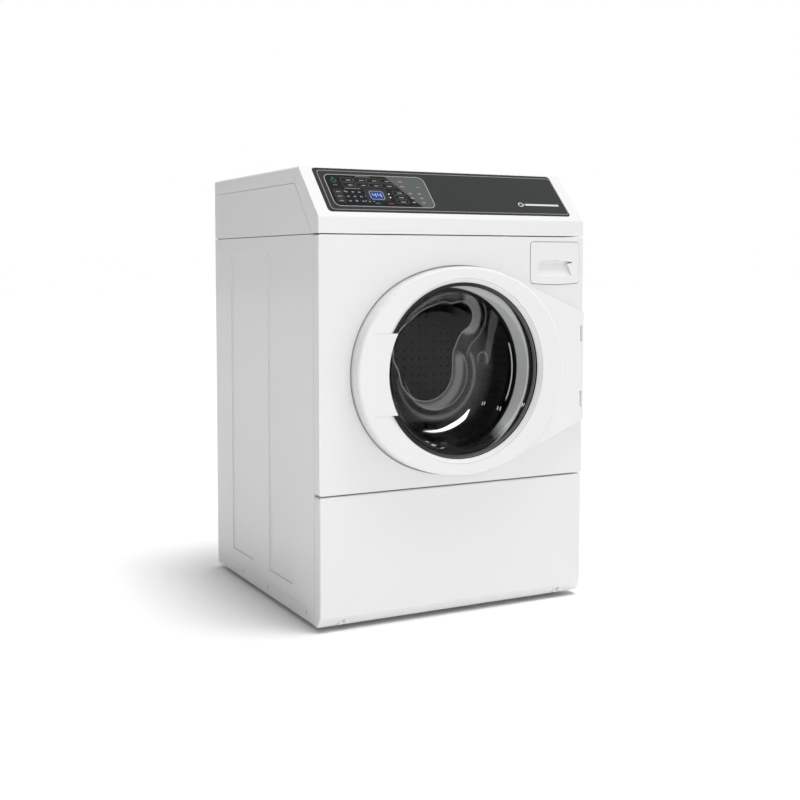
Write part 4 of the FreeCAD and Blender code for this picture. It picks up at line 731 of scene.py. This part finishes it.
# %% Pressed screw seats
SEAT_SIDE = 0.281
SEAT_DEEP = 0.0102
SEAT_LEVEL = 0.0108
toe_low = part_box("front_panel_lower")[0]
seat_pieces = []
for seat_x in (-SEAT_SIDE, SEAT_SIDE):
    seat = fresh(bpy.ops.mesh.primitive_cone_add, "seat", vertices=3, radius1=0.02,
                 radius2=0.016, depth=0.008,
                 location=(seat_x, toe_low.y + SEAT_DEEP, toe_low.z + SEAT_LEVEL),
                 rotation=(math.radians(90), 0, 0))
    bpy.ops.object.transform_apply(location=False, rotation=True, scale=True)
    seat_pieces.append(finish_with(seat, "BEVEL", width=0.0015, segments=3))
seats = settle(gather(seat_pieces, "toe_seats"), "enamel", "cabinet")
print("seats", len(seats.data.polygons), "faces")

# %% [markdown]
# ## Inner lip of the door ring
# The white ring turns inwards before it meets the bezel, in a sloping lip that catches the
# light. It is a hoop: a circle of edges is extruded and scaled four times to walk round the
# lip's section, and the last row is merged with the first. A bevel rounds its edges.

# %% Lip
def hoop(name, profile, segments=160):
    """Closed ring round the door's axis; the profile is a list of radius and depth."""
    first_radius, first_depth = profile[0]
    piece = fresh(bpy.ops.mesh.primitive_circle_add, name, vertices=segments,
                  radius=first_radius, fill_type="NOTHING",
                  location=(0, first_depth, axis_level), rotation=(math.radians(90), 0, 0))
    bpy.ops.object.transform_apply(location=False, rotation=True, scale=False)
    bpy.ops.object.mode_set(mode="EDIT")
    bpy.ops.mesh.select_all(action="SELECT")
    radius, depth = first_radius, first_depth
    for next_radius, next_depth in profile[1:] + profile[:1]:
        bpy.ops.mesh.extrude_edges_move()
        grow = next_radius / radius
        bpy.ops.transform.resize(value=(grow, 1, grow),
                                 center_override=(0, depth, axis_level))
        bpy.ops.transform.translate(value=(0, next_depth - depth, 0))
        radius, depth = next_radius, next_depth
    bpy.ops.mesh.select_all(action="SELECT")
    bpy.ops.mesh.remove_doubles(threshold=0.00002)
    bpy.ops.mesh.normals_make_consistent(inside=False)
    bpy.ops.object.mode_set(mode="OBJECT")
    return piece


ring_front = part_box("door_ring")[0].y
bezel_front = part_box("door_bezel")[0].y
LIP_WIDE = 0.009
lip = hoop("ring_lip", [(opening, ring_front + 0.0006),
                        (opening - LIP_WIDE, bezel_front + 0.0002),
                        (opening - LIP_WIDE + 0.0005, bezel_front + 0.002),
                        (opening, bezel_front + 0.001)])
finish_with(lip, "BEVEL", width=0.0006, segments=2, limit_method="ANGLE")
settle(lip, "white_plastic", "door")
print("lip", len(lip.data.polygons), "faces", round(ring_front, 4), round(bezel_front, 4))

# %% [markdown]
# ## Room, light and camera
# A pale floor and a soft white room. The room is dimmer on the left, which shades the side
# panel. A broad sun from overhead gives a soft contact shadow, and a fill on the front left
# lifts the edge where the two faces meet.

# %% Floor
floor = fresh(bpy.ops.mesh.primitive_plane_add, "floor", size=60, location=(0, 0, 0))
sweep = Paint("floor_paper", Roughness=0.9, Specular_IOR_Level=0.1)
sweep.set("Base Color", sweep.mix(sweep.noise(1.5, 2), rgb(0.93), rgb(0.95)))
floor.data.materials.append(sweep.material)
print("floor", floor.dimensions[:])

# %% Room
DIM_SIDE = (-0.7, 0.03)
BRIGHT_SIDE = (0.1, 1.0)
world = bpy.data.worlds.new("room")
bpy.context.scene.world = world
world.use_nodes = True
sky = world.node_tree
look = sky.nodes.new("ShaderNodeTexCoord")
split = sky.nodes.new("ShaderNodeSeparateXYZ")
fade = sky.nodes.new("ShaderNodeMapRange")
fade.inputs["From Min"].default_value, fade.inputs["To Min"].default_value = DIM_SIDE
fade.inputs["From Max"].default_value, fade.inputs["To Max"].default_value = BRIGHT_SIDE
sky.links.new(look.outputs["Generated"], split.inputs[0])
sky.links.new(split.outputs["X"], fade.inputs["Value"])
sky.links.new(fade.outputs[0], sky.nodes["Background"].inputs["Color"])
sky.nodes["Background"].inputs["Strength"].default_value = 1.0
print("room", DIM_SIDE, BRIGHT_SIDE)


# %% Lights
def lamp(name, kind, place, aim, power, size):
    """A light that shades the object but isn't mirrored in its glossy faces."""
    data = bpy.data.lights.new(name, kind)
    data.energy = power
    if kind == "SUN":
        data.angle = math.radians(size)
    else:
        data.size = size
    piece = bpy.data.objects.new(name, data)
    piece.location = place
    piece.rotation_euler = (Vector(aim) - Vector(place)).to_track_quat("-Z", "Y").to_euler()
    piece.visible_glossy = False
    bpy.context.scene.collection.objects.link(piece)
    return piece


lamp("overhead", "SUN", (0.3, -0.3, 2.0), (0, 0, 0), 1.5, 18)
lamp("left_fill", "AREA", (-1.7, -2.2, 1.1), (-0.35, -0.2, 0.5), 9, 1.2)
bpy.context.scene.view_settings.view_transform = "Standard"

# %% Camera
CAMERA_PLACE = (-1.357, -2.6445, 0.797)
CAMERA_DOWN = 3.63
CAMERA_RIGHT = 27.45
camera_data = bpy.data.cameras.new("camera")
camera_data.lens = 53.9
camera_data.sensor_width = 36
camera_data.shift_y = -0.075
camera = bpy.data.objects.new("camera", camera_data)
camera.location = CAMERA_PLACE
camera.rotation_euler = (math.radians(90 - CAMERA_DOWN), 0, math.radians(-CAMERA_RIGHT))
bpy.context.scene.collection.objects.link(camera)
bpy.context.scene.camera = camera
print("camera", camera.location[:])
